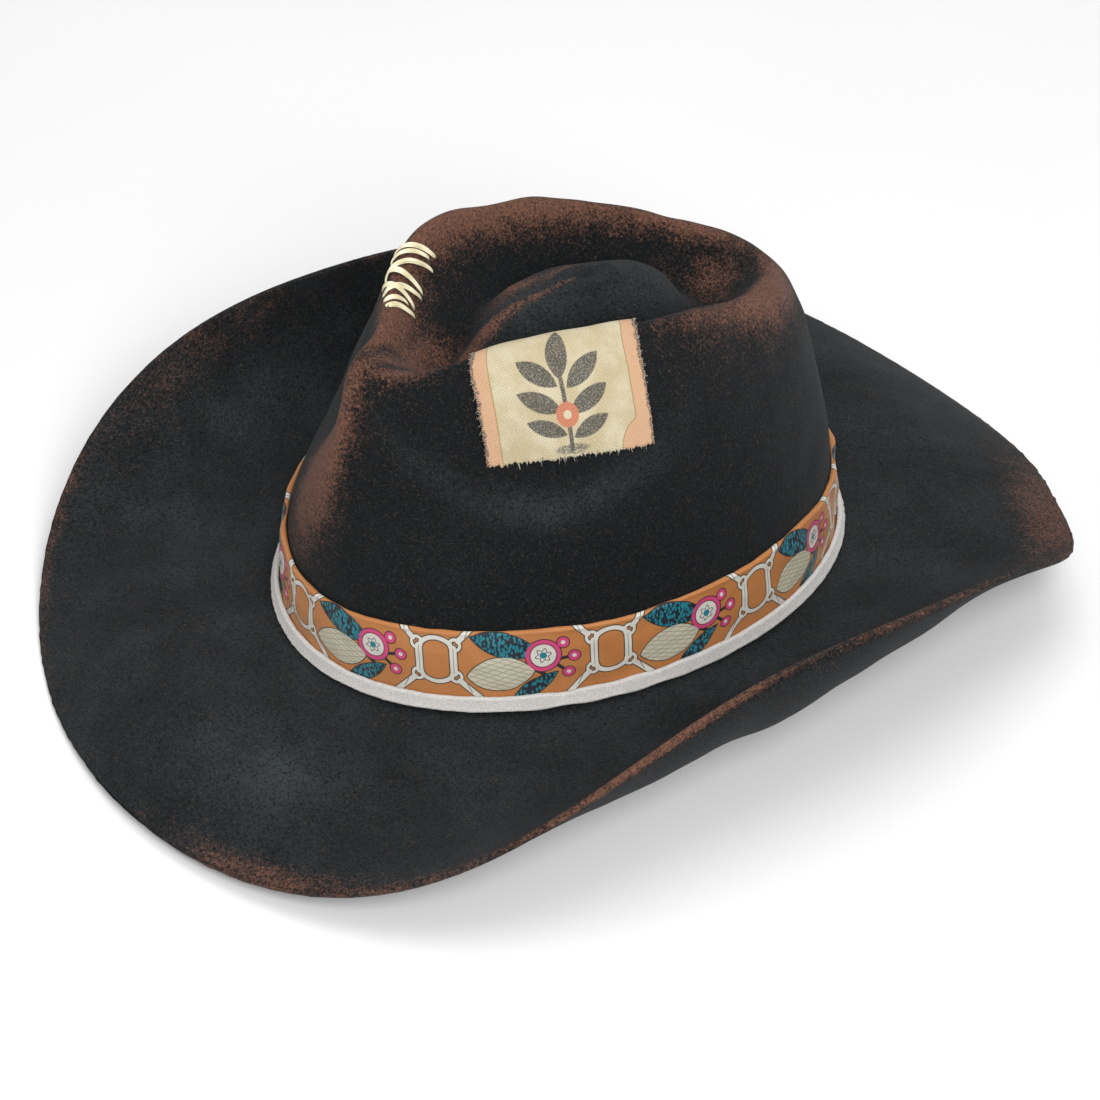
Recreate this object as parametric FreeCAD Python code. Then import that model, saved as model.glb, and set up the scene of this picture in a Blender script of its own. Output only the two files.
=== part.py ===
"""Wide-brimmed felt hat with a teardrop crown, a folded scarf band and a linen patch.

Lengths are in mm and angles in degrees. The front of the hat faces -Y and the wearer's left is +X.
Stations run round the hat: 0 at the front, 90 at the wearer's left, 180 at the back.
Everything is modelled from the break, where brim meets crown, and is set on its brim at the end.
"""
import FreeCAD, Part
import math
import os
from FreeCAD import Vector

# ------------------------------------------------------------------ driving dimensions
FELT = 2.5                    # thickness of the felt
BREAK_HALF_LENGTH = 109.3     # outside of the felt at the break
BREAK_HALF_WIDTH = 86.9
BREAK_SIDE_RISE = 2.7         # the break rises at the sides and drops at the ends
STAND_TILT = 0.30             # the crown leans back this much when the hat stands on its brim

# Smooth changes round the hat: a mean and cosine or sine parts of the station.
BRIM_WIDTH = {"mean": 90.7, "cos1": 6.1, "cos2": 2.1, "cos3": -4.0, "cos4": 1.1, "cos5": -0.8,
              "sin1": -0.7, "sin2": -1.2, "sin3": -1.0, "sin4": 1.8}
BRIM_START = {"mean": -0.5, "cos1": -3.7, "cos2": 5.1, "cos3": 2.8, "cos4": 2.7, "sin1": 3.4, "sin2": -1.6}
BRIM_END = {"mean": 32.2, "cos1": -3.8, "cos2": -75.1, "cos3": -0.4, "cos4": 4.3, "cos5": 6.3,
            "sin1": 0.2, "sin2": -5.3, "sin3": 6.7, "sin4": 1.5}
CORNER_STATION = 139.8         # the brim has two blunt corners at the back
CORNER_SPREAD = 5.7
CORNER_WIDER = 15.8
CORNER_FLATTER = 15.4
BRIM_CURL_POWER = 1.8         # how late the brim curls on its way out
CROWN_HEIGHT = {"mean": 119.9, "cos1": 11.7, "cos2": -8.8, "cos3": -2.2}

CREST_FRONT = -91.5           # plan of the crown's rim
CREST_BACK = 90.6
CREST_HALF_WIDTH = 44.8
CREST_TAPER = 0.055
CREST_DIP = 7.1               # the rim dips above the two front pinches
CREST_DIP_STATION = 30
CREST_DIP_WIDTH = 14
TUCK_STATION = 329.5          # the rim is tucked in here, at the wearer's front right
TUCK_WIDTH = 15.7
TUCK_IN = 6.5
TUCK_BACK = 8.8
# Two front pinches: station, depth, height of the middle, reach up and down, and width.
PINCHES = ((35, 12.0, 78, 24, 20), (-35, 22.2, 94.4, 17.1, 24.4))
PINCH_BACK = 0.25             # a pinch also pushes the wall back, by this share of its depth

TIP_CENTRE = 10.0             # middle of the raised tip, behind the hat's centre
TIP_HEIGHT = 121.0
TIP_FALL = 0.05               # the tip falls this much per mm towards the back
TIP_BLEND = (0.1, 0.6)        # where the rim's height gives way to the tip's
BUTTON = ((8, 14), (4, 7))    # half width and half length of the two flat rings at the middle
BUTTON_DROP = 1.0

BRIM_ROWS = (1, 0.93, 0.84, 0.72, 0.58, 0.42, 0.26, 0.11)
WALL_ROWS = ((0, 0.09), (0.06, 0.30), (0.27, 0.58), (0.55, 0.84), (0.97, 1.0))
TIP_ROWS = ((0.10, -1), (0.22, 9), (0.34, 21), (0.45, 24), (0.56, 10), (0.70, 5), (0.85, 3))
STATIONS = 36
ARC_STEPS = 100

SCARF_BOTTOM = 2.2            # folded silk scarf
SCARF_TOP = 32.5
SCARF_THICK = 2.4
SCARF_CLEAR = 0.35            # between the felt and the scarf
SCARF_LEAN = 0.4
LACE_BOTTOM = 1.4             # suede lace laid over the scarf's lower edge
LACE_TOP = 6.6
LACE_THICK = 1.6
LACE_CLEAR = 0.15             # between the scarf and the lace

SWEAT_BOTTOM = -2.6           # leather sweatband
SWEAT_TOP = 50.0
SWEAT_THICK = 0.9
SWEAT_GAP = 1.6               # from the felt's inside, with room for the lining
SWEAT_LEAN = 0.8
FILLET_TOP = 10.0             # straps inside the crown hang straight down from this height
REED_RADIUS = 0.9
REED_DROP = 1.0               # reed's centre under the sweatband's lower edge
TAPE_WALL = 0.4               # cloth that covers the reed
LINING_THICK = 0.3
LINING_BOTTOM = 9.0
LINING_TOP = 76.0
LINING_RISE = 3.0             # the lining's tip domes by this much
LINING_LEAN = 4.0             # the lining hangs this far in from the felt at its top
LINING_GAP = 0.75             # from the felt's inside
TIP_GAP = 0.5                 # between the lining's side and its tip
TIP_DROP = 0.8                # the tip's edge sits this far under the side's top
TIP_SHARES = (1.0, 0.97, 0.85, 0.65, 0.45, 0.25)
TIP_RINGS = (5.0, 2.5)        # radii of the flat rings at the middle of the lining's tip

THREAD = 0.28                 # radius of sewing thread
THREAD_CLEAR = 0.25
REED_STITCHES = 72
REED_STITCH_SHARE = 0.6       # of each step is stitch, and the rest is gap
REED_STITCH_RISE = 2.2        # above the sweatband's lower edge
JOINT_STITCHES = 6
JOINT_HALF_WIDTH = 1.2
JOINT_SLANT = 0.6             # a joint stitch rises by this share of the step to the next
JOINT_TOP = 4.0               # left free under the sweatband's top
BOW_WIDTH = 24.0
BOW_HEIGHT = 9.0
BOW_LEVEL = 10.0              # the bow's height above the break
BOW_OFF = 3.0                 # the bow's middle from the sweatband
BOW_DEPTH = 1.4
KNOT = (4.4, 2.0, 5.0)        # width, depth and height
KNOT_ROUND = 0.9
BOW_OUTLINE = ((0.125, 0.35), (0.55, 0.9), (1.0, 1.0))   # half widths and heights of a loop, as shares

PATCH_THICK = 0.6
PATCH_GRID = (9, 13)          # points across and down
PATCH_CLEAR = 0.3
PATCH_TOP = (48.0, 92.5, 13.25)     # front station, back station and row of its edge in the gutter
PATCH_BOTTOM = (52.5, 87.0, 10.57)  # the same for its lower edge on the wall

FLOSS_WIDTH = 1.5             # flat yellow floss across the rim
FLOSS_THICK = 0.5
FLOSS_RISE = 0.9
FLOSS_CLEAR = 0.1
FLOSS_CROSS = 1.0             # a stitch that crosses over another rises this much more
FLOSS_TAPER = 0.35            # a stitch narrows to this share at its ends
# Each stitch: station and row of its outer end, the same of its inner end, and 1 if it crosses over.
FLOSS_STITCHES = (((304.5, 12.0), (299.5, 13.75), 0), ((307.5, 12.0), (301.5, 13.6), 0),
                  ((312.8, 11.9), (304.0, 13.9), 1), ((310.2, 11.9), (314.5, 13.9), 0),
                  ((317.5, 11.8), (316.5, 13.9), 0), ((313.5, 11.8), (322.0, 13.75), 1),
                  ((320.0, 11.8), (322.0, 13.5), 0), ((322.5, 11.7), (325.0, 13.85), 0))


# ------------------------------------------------------------------ helpers
def wave(parts, station):
    """Value at a station of a smooth change round the hat."""
    total = parts["mean"]
    for name, size in parts.items():
        if name != "mean":
            turn = math.radians(station) * int(name[3:])
            total += size * (math.cos(turn) if name.startswith("cos") else math.sin(turn))
    return total


def bump(value, middle, reach):
    """Bell-shaped weight, 1 at the middle."""
    return math.exp(-0.5 * ((value - middle) / reach) ** 2)


def apart(station, other):
    """Signed angle between two stations."""
    return (station - other + 180) % 360 - 180


def periodic(columns, closed_rows=False):
    """Cubic surface that closes round the hat; columns of poles run from the brim inwards."""
    count = len(columns)
    rows = len(columns[0])
    surface = Part.BSplineSurface()
    round_knots = list(range(count + 1))
    if closed_rows:
        row_knots = list(range(rows + 1))
        row_mults = [1] * (rows + 1)
    else:
        row_knots = list(range(rows - 2))
        row_mults = [4] + [1] * (rows - 4) + [4]
    surface.buildFromPolesMultsKnots(columns, [1] * (count + 1), row_mults, round_knots, row_knots,
                                     True, closed_rows, 3, 3)
    return surface


def solid_of(faces):
    """Closed solid sewn from faces, with its outside facing out."""
    shell = Part.makeShell(faces)
    if len(faces) > 1:
        shell.sewShape()
    if shell.ShapeType != "Shell":
        shell = shell.Shells[0]
    solid = Part.makeSolid(shell)
    if solid.Volume < 0:
        solid.reverse()
    return solid


def ring(section, stations=72):
    """Solid ring round the hat from a closed section at each station."""
    columns = [section(360.0 * index / stations) for index in range(stations)]
    return solid_of([periodic(columns, closed_rows=True).toShape()])


def end_edge(face, row_is_last):
    """The face's closed edge at one end of its rows: the first is the longest, the last the shortest."""
    loops = [edge for edge in face.Edges if edge.isClosed()]
    loops.sort(key=lambda edge: edge.Length)
    return loops[0] if row_is_last else loops[-1]


def shell_solid(outer, inner):
    """Solid between two surfaces: ruled at their first row and flat at their last."""
    faces = [outer.toShape(), inner.toShape()]
    faces.append(Part.makeRuledSurface(end_edge(faces[0], False), end_edge(faces[1], False)))
    for face in faces[:2]:
        faces.append(Part.Face(Part.Wire([end_edge(face, True)])))
    return solid_of(faces)


def greville(row, rows):
    """Surface parameter that a row of poles belongs to."""
    knots = [0] * 4 + list(range(1, rows - 3)) + [rows - 3] * 4
    return sum(knots[row + 1:row + 4]) / 3.0


def oval(station):
    """Point of the break and the outward direction there."""
    turn = math.radians(station)
    point = Vector(BREAK_HALF_WIDTH * math.sin(turn), -BREAK_HALF_LENGTH * math.cos(turn),
                   BREAK_SIDE_RISE * -math.cos(2 * turn))
    out = Vector(math.sin(turn) * BREAK_HALF_LENGTH, -math.cos(turn) * BREAK_HALF_WIDTH, 0)
    return point, out.normalize()


# ------------------------------------------------------------------ felt body
def brim_poles(station):
    """Poles across the brim, from its edge to the break: an arc that curls more and more."""
    foot, out = oval(station)
    corner = bump(apart(station, CORNER_STATION), 0, CORNER_SPREAD)
    corner += bump(apart(station, -CORNER_STATION), 0, CORNER_SPREAD)
    start = wave(BRIM_START, station)
    end = wave(BRIM_END, station) - CORNER_FLATTER * corner
    step = (wave(BRIM_WIDTH, station) + CORNER_WIDER * corner) / ARC_STEPS
    reach = [0.0]
    rise = [0.0]
    for index in range(ARC_STEPS):
        share = (index + 0.5) / ARC_STEPS
        angle = math.radians(start + (end - start) * share ** BRIM_CURL_POWER)
        reach.append(reach[-1] + step * math.cos(angle))
        rise.append(rise[-1] + step * math.sin(angle))
    poles = []
    for share in BRIM_ROWS:
        index = round(share * ARC_STEPS)
        poles.append(foot + out * reach[index] + Vector(0, 0, rise[index]))
    return poles + [foot]


def crest(station):
    """Point of the crown's rim."""
    turn = math.radians(station)
    middle = (CREST_FRONT + CREST_BACK) / 2
    half = (CREST_BACK - CREST_FRONT) / 2
    across = CREST_HALF_WIDTH * math.sin(turn) * (1 - CREST_TAPER * math.cos(2 * turn))
    height = wave(CROWN_HEIGHT, station)
    for side in (1, -1):
        height -= CREST_DIP * bump(apart(station, side * CREST_DIP_STATION), 0, CREST_DIP_WIDTH)
    tuck = bump(apart(station, TUCK_STATION), 0, TUCK_WIDTH)
    return Vector(across + TUCK_IN * tuck, middle - half * math.cos(turn) + TUCK_BACK * tuck, height)


def wall_poles(station):
    """Poles up the crown's wall, pushed in at the two front pinches."""
    foot, out = oval(station)
    top = crest(station)
    poles = []
    for plan_share, height_share in WALL_ROWS:
        pole = foot + (top - foot) * plan_share
        pole.z = foot.z + (top.z - foot.z) * height_share
        for place, depth, height, reach, width in PINCHES:
            push = depth * bump(pole.z, height, reach) * bump(apart(station, place), 0, width)
            pole.x -= math.copysign(push, place)
            pole.y += PINCH_BACK * push
        poles.append(pole)
    return poles


def tip_poles(station):
    """Poles from the rim down the gutter and up on to the raised tip."""
    turn = math.radians(station)
    top = crest(station)
    centre = Vector(0, TIP_CENTRE, 0)
    middle = (CREST_FRONT + CREST_BACK) / 2
    poles = []
    for share, drop in TIP_ROWS:
        pole = centre + (top - centre) * (1 - share)
        blend = min(1, max(0, (share - TIP_BLEND[0]) / (TIP_BLEND[1] - TIP_BLEND[0])))
        tip = TIP_HEIGHT + TIP_FALL * (middle - pole.y)
        pole.z = top.z * (1 - blend) + tip * blend - drop
        poles.append(pole)
    flat = TIP_HEIGHT + TIP_FALL * (middle - TIP_CENTRE) - BUTTON_DROP
    for half_width, half_length in BUTTON:
        poles.append(Vector(half_width * math.sin(turn), TIP_CENTRE - half_length * math.cos(turn), flat))
    return poles


def felt_columns():
    """All poles of the felt's outside, one column per station."""
    columns = []
    for index in range(STATIONS):
        station = 360.0 * index / STATIONS
        columns.append(brim_poles(station) + wall_poles(station) + tip_poles(station))
    return columns


def inner_columns(columns, surface, depth):
    """Poles of the surface that lies a depth under another."""
    rows = len(columns[0])
    shifted = []
    for index, column in enumerate(columns):
        across = (index - 1) % STATIONS
        moved = []
        for row, pole in enumerate(column):
            normal = surface.normal(across, greville(row, rows))
            if row >= rows - len(BUTTON):
                normal = Vector(0, 0, 1 if normal.z > 0 else -1)
            moved.append(pole - normal * (depth * OUTWARD))
        shifted.append(moved)
    return shifted


OUTSIDE = felt_columns()
FELT_TOP = periodic(OUTSIDE)
ROWS = len(OUTSIDE[0])
FOOT_ROW = len(BRIM_ROWS) - 1
RIM_ROW = FOOT_ROW + len(WALL_ROWS)
OUTWARD = 1 if FELT_TOP.normal(0, ROWS - 3.0).z > 0 else -1


def felt_body():
    inside = periodic(inner_columns(OUTSIDE, FELT_TOP, FELT))
    return shell_solid(FELT_TOP, inside)


def on_felt(station, row, lift=0.0):
    """Point on the felt's outside, lifted off it."""
    across = (station * STATIONS / 360.0 - 1) % STATIONS
    normal = FELT_TOP.normal(across, row) * OUTWARD
    return FELT_TOP.value(across, row) + normal * lift


def wall(station, height, out=0.0):
    """Point beside the crown's wall at a height above the break, moved outwards in plan."""
    low = FOOT_ROW
    high = RIM_ROW
    for _ in range(30):
        row = (low + high) / 2.0
        if on_felt(station, row).z < height:
            low = row
        else:
            high = row
    point = on_felt(station, row)
    direction = on_felt(station, row, 1.0) - point
    direction.z = 0
    return point + direction.normalize() * out


# ------------------------------------------------------------------ band
def level(station, height):
    """Height that follows the break's rise and fall."""
    return height - BREAK_SIDE_RISE * math.cos(2 * math.radians(station))


def strap(bottom, top, out, thick, steps=5, lean=0.0):
    """Section of a strap that follows the wall, leaning in by lean at its top."""
    def section(station):
        heights = [bottom + (top - bottom) * step / (steps - 1.0) for step in range(steps)]
        face = []
        back = []
        for height in heights:
            share = (height - bottom) / (top - bottom)
            spot = wall(station, level(station, height), out - lean * share)
            away = wall(station, level(station, height), out - lean * share + thick)
            back.append(spot)
            face.append(away)
        return face + back[::-1]
    return section


def scarf_band():
    return ring(strap(SCARF_BOTTOM, SCARF_TOP, SCARF_CLEAR, SCARF_THICK, steps=7, lean=SCARF_LEAN))


def suede_lace():
    return ring(strap(LACE_BOTTOM, LACE_TOP, SCARF_CLEAR + SCARF_THICK + LACE_CLEAR, LACE_THICK))


# ------------------------------------------------------------------ inside of the crown
def inner_strap(bottom, top, out, thick, steps=5, lean=0.0, lean_from=None):
    """Section of a strap inside the crown; below the fillet it stays in line with the wall."""
    start = bottom if lean_from is None else lean_from

    def section(station):
        face = []
        back = []
        for step in range(steps):
            height = bottom + (top - bottom) * step / (steps - 1.0)
            inwards = lean * max(0.0, (height - start) / (top - start))
            clear = level(station, max(height, FILLET_TOP))
            height = level(station, height)
            for side, offset in ((back, out), (face, out - thick)):
                point = wall(station, clear, offset - inwards)
                point.z = height
                side.append(point)
        return face + back[::-1]
    return section


SWEAT_OUT = -FELT - SWEAT_GAP


def sweatband():
    return ring(inner_strap(SWEAT_BOTTOM, SWEAT_TOP, SWEAT_OUT, SWEAT_THICK, steps=6, lean=SWEAT_LEAN))


def round_section(radius, sides=8):
    """Round section about the reed's line under the sweatband's lower edge."""
    def section(station):
        centre = wall(station, level(station, FILLET_TOP), SWEAT_OUT - SWEAT_THICK / 2)
        centre.z = level(station, SWEAT_BOTTOM - REED_DROP)
        out = oval(station)[1]
        points = []
        for side in range(sides):
            turn = 2 * math.pi * side / sides
            points.append(centre + out * radius * math.cos(turn) + Vector(0, 0, radius * math.sin(turn)))
        return points
    return section


POLE_GROWTH = 1.12            # a cubic ring of eight poles passes inside them
REED_CLEAR = 0.03


def sweatband_reed():
    return ring(round_section(REED_RADIUS * POLE_GROWTH))


def reed_tape():
    outer = ring(round_section((REED_RADIUS + TAPE_WALL) * POLE_GROWTH))
    inner = ring(round_section((REED_RADIUS + REED_CLEAR) * POLE_GROWTH))
    return outer.cut(inner)


def pill(start, end, radius):
    """Stitch with rounded ends."""
    line = end - start
    body = Part.makeCylinder(radius, line.Length, start, line)
    return body.fuse([Part.makeSphere(radius, start), Part.makeSphere(radius, end)]).removeSplitter()


def reed_stitches():
    """Running stitches along the sweatband just above the reed."""
    stitches = []
    half = 180.0 / REED_STITCHES * REED_STITCH_SHARE
    out = SWEAT_OUT - SWEAT_THICK - THREAD - THREAD_CLEAR
    for index in range(REED_STITCHES):
        station = 360.0 * (index + 0.5) / REED_STITCHES
        ends = []
        for side in (-half, half):
            point = wall(station + side, level(station, FILLET_TOP), out)
            point.z = level(station, SWEAT_BOTTOM + REED_STITCH_RISE)
            ends.append(point)
        stitches.append(pill(ends[0], ends[1], THREAD))
    return Part.makeCompound(stitches)


def sweatband_joint_stitches():
    """Crossed stitches that close the sweatband's ends at the back."""
    stitches = []
    low = BOW_LEVEL + BOW_HEIGHT
    pitch = (SWEAT_TOP - JOINT_TOP - low) / JOINT_STITCHES
    for index in range(JOINT_STITCHES):
        ends = []
        for side, height in ((-1, low + pitch * index), (1, low + pitch * (index + JOINT_SLANT))):
            share = (height - SWEAT_BOTTOM) / (SWEAT_TOP - SWEAT_BOTTOM)
            offset = SWEAT_OUT - SWEAT_THICK - THREAD - THREAD_CLEAR - SWEAT_LEAN * share
            ends.append(wall(180 + side * JOINT_HALF_WIDTH, max(height, FILLET_TOP), offset))
        stitches.append(pill(ends[0], ends[1], THREAD))
    return Part.makeCompound(stitches)


def sweatband_bow():
    """Small ribbon bow over the sweatband's joint: two loops and a knot."""
    base = wall(180, BOW_LEVEL, SWEAT_OUT - SWEAT_THICK - BOW_OFF)
    width, depth, height = KNOT
    knot = Part.makeBox(width, depth, height, base - Vector(width / 2, depth / 2, height / 2))
    pieces = [knot.makeFillet(KNOT_ROUND, knot.Edges)]
    start = base - Vector(0, BOW_DEPTH / 2, 0)
    for side in (1, -1):
        corners = [(side * along * BOW_WIDTH / 2, tall * BOW_HEIGHT / 2) for along, tall in BOW_OUTLINE]
        outline = [Vector(x, 0, z) for x, z in corners]
        outline += [Vector(x, 0, -z) for x, z in corners[::-1]]
        outline.append(outline[0])
        face = Part.Face(Part.makePolygon([start + point for point in outline]))
        pieces.append(face.extrude(Vector(0, BOW_DEPTH, 0)))
    return pieces[0].fuse(pieces[1:]).removeSplitter()


LINING_OUT = -FELT - LINING_GAP


def lining_side():
    return ring(inner_strap(LINING_BOTTOM, LINING_TOP, LINING_OUT, LINING_THICK,
                            steps=9, lean=LINING_LEAN, lean_from=SWEAT_TOP))


def lining_tip():
    """Slightly domed oval that closes the top of the lining."""
    centre = Vector(0, TIP_CENTRE, LINING_TOP)
    level_edge = LINING_TOP - TIP_DROP
    skins = []
    for lift in (LINING_THICK, 0.0):
        columns = []
        for index in range(STATIONS):
            station = 360.0 * index / STATIONS
            turn = math.radians(station)
            edge = wall(station, LINING_TOP, LINING_OUT - LINING_LEAN - LINING_THICK - TIP_GAP)
            column = []
            for share in TIP_SHARES:
                point = centre + (edge - centre) * share
                point.z = level_edge + LINING_RISE * (1 - share ** 2) + lift
                column.append(point)
            for radius in TIP_RINGS:
                column.append(Vector(radius * math.sin(turn), TIP_CENTRE - radius * math.cos(turn),
                                     level_edge + LINING_RISE + lift))
            columns.append(column)
        skins.append(periodic(columns))
    return shell_solid(skins[0], skins[1])


# ------------------------------------------------------------------ patch and floss
def patch():
    """Linen patch folded over the wearer's left rim."""
    skins = []
    for lift in (PATCH_CLEAR, PATCH_CLEAR + PATCH_THICK):
        grid = []
        for i in range(PATCH_GRID[0]):
            across = i / (PATCH_GRID[0] - 1.0)
            line = []
            for j in range(PATCH_GRID[1]):
                down = j / (PATCH_GRID[1] - 1.0)
                front = PATCH_TOP[0] + (PATCH_BOTTOM[0] - PATCH_TOP[0]) * down
                back = PATCH_TOP[1] + (PATCH_BOTTOM[1] - PATCH_TOP[1]) * down
                row = PATCH_TOP[2] + (PATCH_BOTTOM[2] - PATCH_TOP[2]) * down
                line.append(on_felt(front + (back - front) * across, row, lift))
            grid.append(line)
        surface = Part.BSplineSurface()
        surface.interpolate(grid)
        skins.append((surface, surface.toShape()))
    faces = [skin[1] for skin in skins]
    for side in range(4):
        edges = []
        for surface, face in skins:
            bounds = surface.bounds()
            if side < 2:
                curve = surface.uIso(bounds[side])
            else:
                curve = surface.vIso(bounds[side])
            edges.append(curve.toShape())
        faces.append(Part.makeRuledSurface(edges[0], edges[1], 1))
    return solid_of(faces)


def floss_stitch(outer, inner, over):
    """One flat stitch that arches over the rim between two ends."""
    steps = 9
    sides = 8
    columns = []
    for side in range(sides):
        columns.append([])
    middles = []
    for step in range(steps):
        share = step / (steps - 1.0)
        station = outer[0] + (inner[0] - outer[0]) * share
        row = outer[1] + (inner[1] - outer[1]) * share
        arch = math.sin(math.pi * share)
        lift = FLOSS_THICK / 2 + FLOSS_CLEAR + (FLOSS_RISE + FLOSS_CROSS * over) * arch
        middles.append((on_felt(station, row, lift), on_felt(station, row, lift + 1)))
    for step, (middle, above) in enumerate(middles):
        ahead = middles[min(step + 1, steps - 1)][0] - middles[max(step - 1, 0)][0]
        up = (above - middle).normalize()
        across = ahead.cross(up).normalize()
        taper = FLOSS_TAPER if step in (0, steps - 1) else 1.0
        for side in range(sides):
            turn = 2 * math.pi * side / sides
            columns[side].append(middle + across * (FLOSS_WIDTH / 2 * taper * math.cos(turn))
                                 + up * (FLOSS_THICK / 2 * math.sin(turn)))
    surface = periodic(columns)
    tube = surface.toShape()
    faces = [tube]
    for edge in tube.Edges:
        if edge.isClosed() and edge.Length < 3 * FLOSS_WIDTH:
            faces.append(Part.makeFilledFace([edge]))
    return solid_of(faces)


def rim_floss():
    return Part.makeCompound([floss_stitch(*stitch) for stitch in FLOSS_STITCHES])


# ------------------------------------------------------------------ write the parts
NODES = {
    "felt_body": felt_body,
    "scarf_band": scarf_band,
    "suede_lace": suede_lace,
    "linen_patch": patch,
    "rim_floss": rim_floss,
    "sweatband": sweatband,
    "sweatband_reed": sweatband_reed,
    "reed_tape": reed_tape,
    "reed_stitches": reed_stitches,
    "sweatband_joint_stitches": sweatband_joint_stitches,
    "sweatband_bow": sweatband_bow,
    "lining_side": lining_side,
    "lining_tip": lining_tip,
}


def main():
    os.makedirs("parts", exist_ok=True)
    shapes = {name: build() for name, build in NODES.items()}
    for shape in shapes.values():
        shape.rotate(Vector(0, 0, 0), Vector(1, 0, 0), -STAND_TILT)
    box = shapes["felt_body"].optimalBoundingBox(False, False)
    shift = Vector(-box.Center.x, -box.Center.y, -box.ZMin)
    for name, shape in shapes.items():
        shape.translate(shift)
        shape.exportStep(os.path.join("parts", name + ".step"))
        print(name, "valid", shape.isValid(), "solids", len(shape.Solids), "cm3", round(shape.Volume / 1000, 2))
    print("size", round(box.XLength, 1), round(box.YLength, 1), round(box.ZLength, 1), "shift", shift)


main()
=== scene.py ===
import math

import bpy
import numpy as np
from mathutils import Matrix, Vector


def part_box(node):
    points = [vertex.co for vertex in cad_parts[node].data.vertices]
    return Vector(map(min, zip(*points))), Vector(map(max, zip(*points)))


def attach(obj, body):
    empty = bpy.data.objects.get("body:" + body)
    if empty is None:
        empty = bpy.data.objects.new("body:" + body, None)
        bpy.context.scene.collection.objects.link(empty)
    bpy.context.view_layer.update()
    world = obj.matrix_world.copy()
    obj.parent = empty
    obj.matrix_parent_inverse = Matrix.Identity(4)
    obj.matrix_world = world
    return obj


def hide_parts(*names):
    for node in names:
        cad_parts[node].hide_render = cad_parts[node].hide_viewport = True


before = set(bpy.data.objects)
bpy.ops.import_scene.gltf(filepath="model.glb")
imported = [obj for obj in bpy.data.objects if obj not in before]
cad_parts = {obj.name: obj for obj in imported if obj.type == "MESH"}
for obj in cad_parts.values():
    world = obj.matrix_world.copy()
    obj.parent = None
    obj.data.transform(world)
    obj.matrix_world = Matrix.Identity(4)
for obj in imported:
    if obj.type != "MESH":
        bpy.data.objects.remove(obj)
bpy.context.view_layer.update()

# A wide-brimmed felt hat. Shapes are worked out in mm about the break, where brim meets crown,
# and place() sets them on the floor in the frame's metres. Stations run round the hat: 0 at the
# front (-Y), 90 at the wearer's left (+X), 180 at the back.

# ------------------------------------------------------------------ sizes shared with the CAD model
FELT = 2.5
BREAK_HALF_LENGTH = 109.3
BREAK_HALF_WIDTH = 86.9
BREAK_SIDE_RISE = 2.7
STAND_TILT = 0.30             # degrees
# Smooth changes round the hat: a mean and cosine or sine parts of the station.
BRIM_WIDTH = {"mean": 90.7, "cos1": 6.1, "cos2": 2.1, "cos3": -4.0, "cos4": 1.1, "cos5": -0.8,
              "sin1": -0.7, "sin2": -1.2, "sin3": -1.0, "sin4": 1.8}
BRIM_START = {"mean": -0.5, "cos1": -3.7, "cos2": 5.1, "cos3": 2.8, "cos4": 2.7, "sin1": 3.4, "sin2": -1.6}
BRIM_END = {"mean": 32.2, "cos1": -3.8, "cos2": -75.1, "cos3": -0.4, "cos4": 4.3, "cos5": 6.3,
            "sin1": 0.2, "sin2": -5.3, "sin3": 6.7, "sin4": 1.5}
CORNER_STATION = 139.8
CORNER_SPREAD = 5.7
CORNER_WIDER = 15.8
CORNER_FLATTER = 15.4
BRIM_CURL_POWER = 1.8
CROWN_HEIGHT = {"mean": 119.9, "cos1": 11.7, "cos2": -8.8, "cos3": -2.2}
CREST_FRONT = -91.5
CREST_BACK = 90.6
CREST_HALF_WIDTH = 44.8
CREST_TAPER = 0.055
CREST_DIP = 7.1
CREST_DIP_STATION = 30
CREST_DIP_WIDTH = 14
TUCK_STATION = 329.5
TUCK_WIDTH = 15.7
TUCK_IN = 6.5
TUCK_BACK = 8.8
# Two front pinches: station, depth, height of the middle, reach up and down, and width.
PINCHES = ((35, 12.0, 78, 24, 20), (-35, 22.2, 94.4, 17.1, 24.4))
PINCH_BACK = 0.25
TIP_CENTRE = 10.0
TIP_HEIGHT = 121.0
TIP_FALL = 0.05
TIP_BLEND = (0.1, 0.6)
BUTTON = ((8, 14), (4, 7))
BUTTON_DROP = 1.0
# Rows of poles: shares across the brim, of plan and height up the wall, and of the way to the middle
# of the tip with the drop below it.
BRIM_ROWS = (1, 0.93, 0.84, 0.72, 0.58, 0.42, 0.26, 0.11)
WALL_ROWS = ((0, 0.09), (0.06, 0.30), (0.27, 0.58), (0.55, 0.84), (0.97, 1.0))
TIP_ROWS = ((0.10, -1), (0.22, 9), (0.34, 21), (0.45, 24), (0.56, 10), (0.70, 5), (0.85, 3))
COLUMNS = 36
ARC_STEPS = 100
SCARF_BOTTOM = 2.2
SCARF_TOP = 32.5
SCARF_THICK = 2.4
SCARF_CLEAR = 0.35
SILK_THICK = 0.3
LACE_BOTTOM = 1.4
LACE_TOP = 6.6
LACE_THICK = 1.6
SWEAT_BOTTOM = -2.6
SWEAT_TOP = 50.0
SWEAT_THICK = 0.9
SWEAT_OUT = -FELT - 1.6
SWEAT_LEAN = 0.8
FILLET_TOP = 10.0
LINING_THICK = 0.3
LINING_BOTTOM = 9.0
LINING_TOP = 76.0
LINING_RISE = 3.0
LINING_LEAN = 4.0
LINING_OUT = -FELT - 0.75
TIP_GAP = 0.4
TIP_DROP = 0.7
BOW_WIDTH = 24.0
BOW_LEVEL = 10.0
BOW_OFF = 3.0
# The patch's two edges, each with its front station, back station and row.
PATCH_TOP = (48.0, 92.5, 13.25)
PATCH_BOTTOM = (52.5, 87.0, 10.57)
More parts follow.
